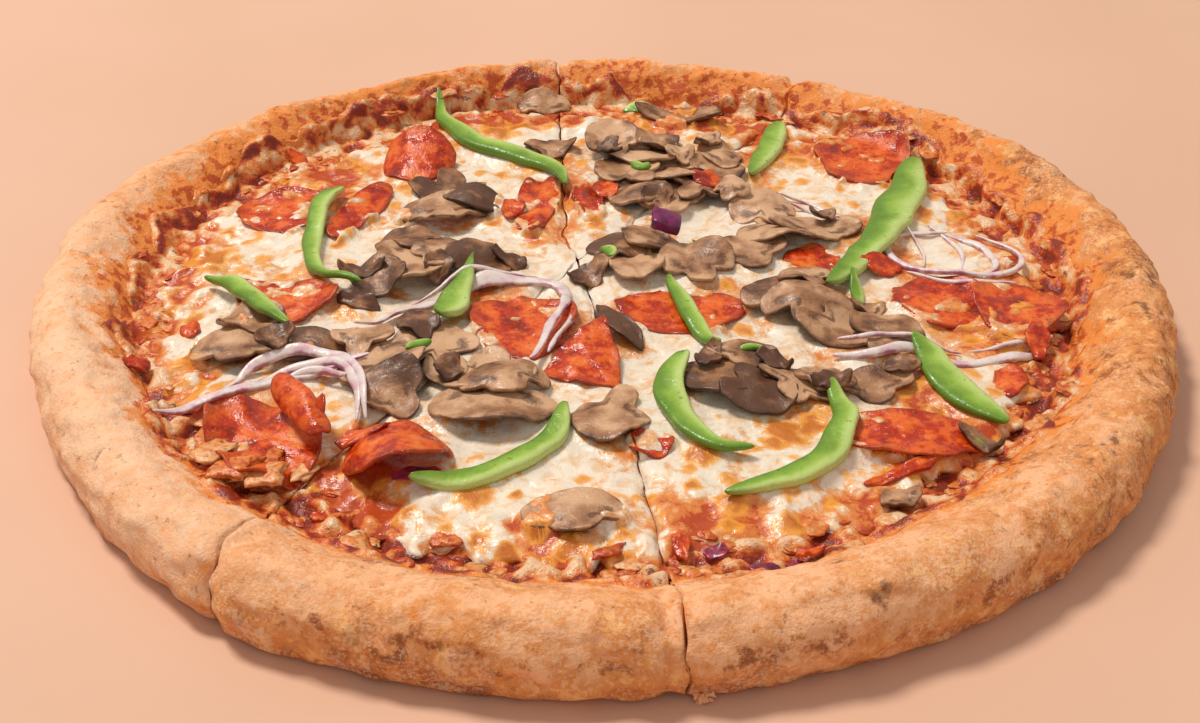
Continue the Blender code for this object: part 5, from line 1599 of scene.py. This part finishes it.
# The camera that was fitted to the photograph: millimetres, then metres, then degrees
SENSOR_WIDTH = 36.0
LENS = 53.39
CAMERA_TARGET = (-0.00013, -0.01978, 0.0)
CAMERA_DISTANCE = 0.56167
CAMERA_ELEVATION = 32.237
CAMERA_ROLL = -0.133


def area_light(name, place, size, power, colour):
    data = bpy.data.lights.new(name, "AREA")
    data.shape = "DISK"
    data.size = size
    data.energy = power
    data.color = colour
    lamp = bpy.data.objects.new(name, data)
    lamp.location = place
    lamp.rotation_euler = (-Vector(place)).to_track_quat("-Z", "Y").to_euler()
    bpy.context.scene.collection.objects.link(lamp)


def light_scene():
    world = bpy.data.worlds.new("studio")
    world.use_nodes = True
    background = world.node_tree.nodes["Background"]
    background.inputs["Color"].default_value = SKY_COLOUR
    background.inputs["Strength"].default_value = SKY_STRENGTH
    bpy.context.scene.world = world
    for lamp in LAMPS:
        area_light(*lamp)


def place_camera():
    """The view of the photograph, fitted to the pizza's outline and cuts."""
    data = bpy.data.cameras.new("camera")
    data.sensor_width = SENSOR_WIDTH
    data.lens = LENS
    camera = bpy.data.objects.new("camera", data)
    bpy.context.scene.collection.objects.link(camera)
    target = Vector(CAMERA_TARGET)
    height = math.radians(CAMERA_ELEVATION)
    eye = target + CAMERA_DISTANCE * Vector((0.0, -math.cos(height), math.sin(height)))
    turned = (target - eye).normalized().to_track_quat("-Z", "Y").to_matrix().to_4x4()
    roll = Matrix.Rotation(math.radians(CAMERA_ROLL), 4, "Z")
    camera.matrix_world = Matrix.Translation(eye) @ turned @ roll
    bpy.context.scene.camera = camera
    bpy.context.scene.view_settings.view_transform = "Standard"


def build():
    looks = {
        "crust": crust_look(), "sauce": sauce_look(), "cheese": cheese_look(),
        "pepperoni": pepperoni_look(), "mushroom": mushroom_look(), "pepper": pepper_look(),
        "onion": onion_look(), "bits": bits_look(),
        "chunk": purple_look("onion_chunk_skin", CHUNK_LIGHT, CHUNK_DARK),
        "purple": purple_look("red_onion_bits", RED_ONION, RED_ONION_DARK),
    }
    table = Table()
    for layer in ("crust", "sauce", "cheese"):
        for piece in PIECES:
            table.add(solid_skin(f"{layer}_{piece}"))
    skins = lay_toppings(table, looks)
    small = lay_small_things(table, looks)
    whole = list(skins.values()) + [skin for group in small.values() for skin in group]
    low = [skins[name] for name in LOW_SLICES]
    heap = Heap([skin.unmarked() for skin in whole], [skin.unmarked() for skin in low])
    grounds = []
    for piece, (first, last) in PIECES.items():
        wedge = Wedge(first, last)
        crust = crust_piece(wedge)
        layers = {"crust": crust, "sauce": sauce_piece(wedge, crust), "cheese": cheese_piece(wedge, heap)}
        for layer, skin in layers.items():
            make_piece(f"fine_{layer}_{piece}", skin, looks[layer], [f"{layer}_{piece}"])
            grounds.append(skin.tree())
    lay_bits(grounds, looks["bits"])
    lay_lumps(grounds + [skins["pepperoni_folded"].tree()], looks["bits"])
    lay_crumbs(looks["crust"])


build()
make_floor()
light_scene()
place_camera()
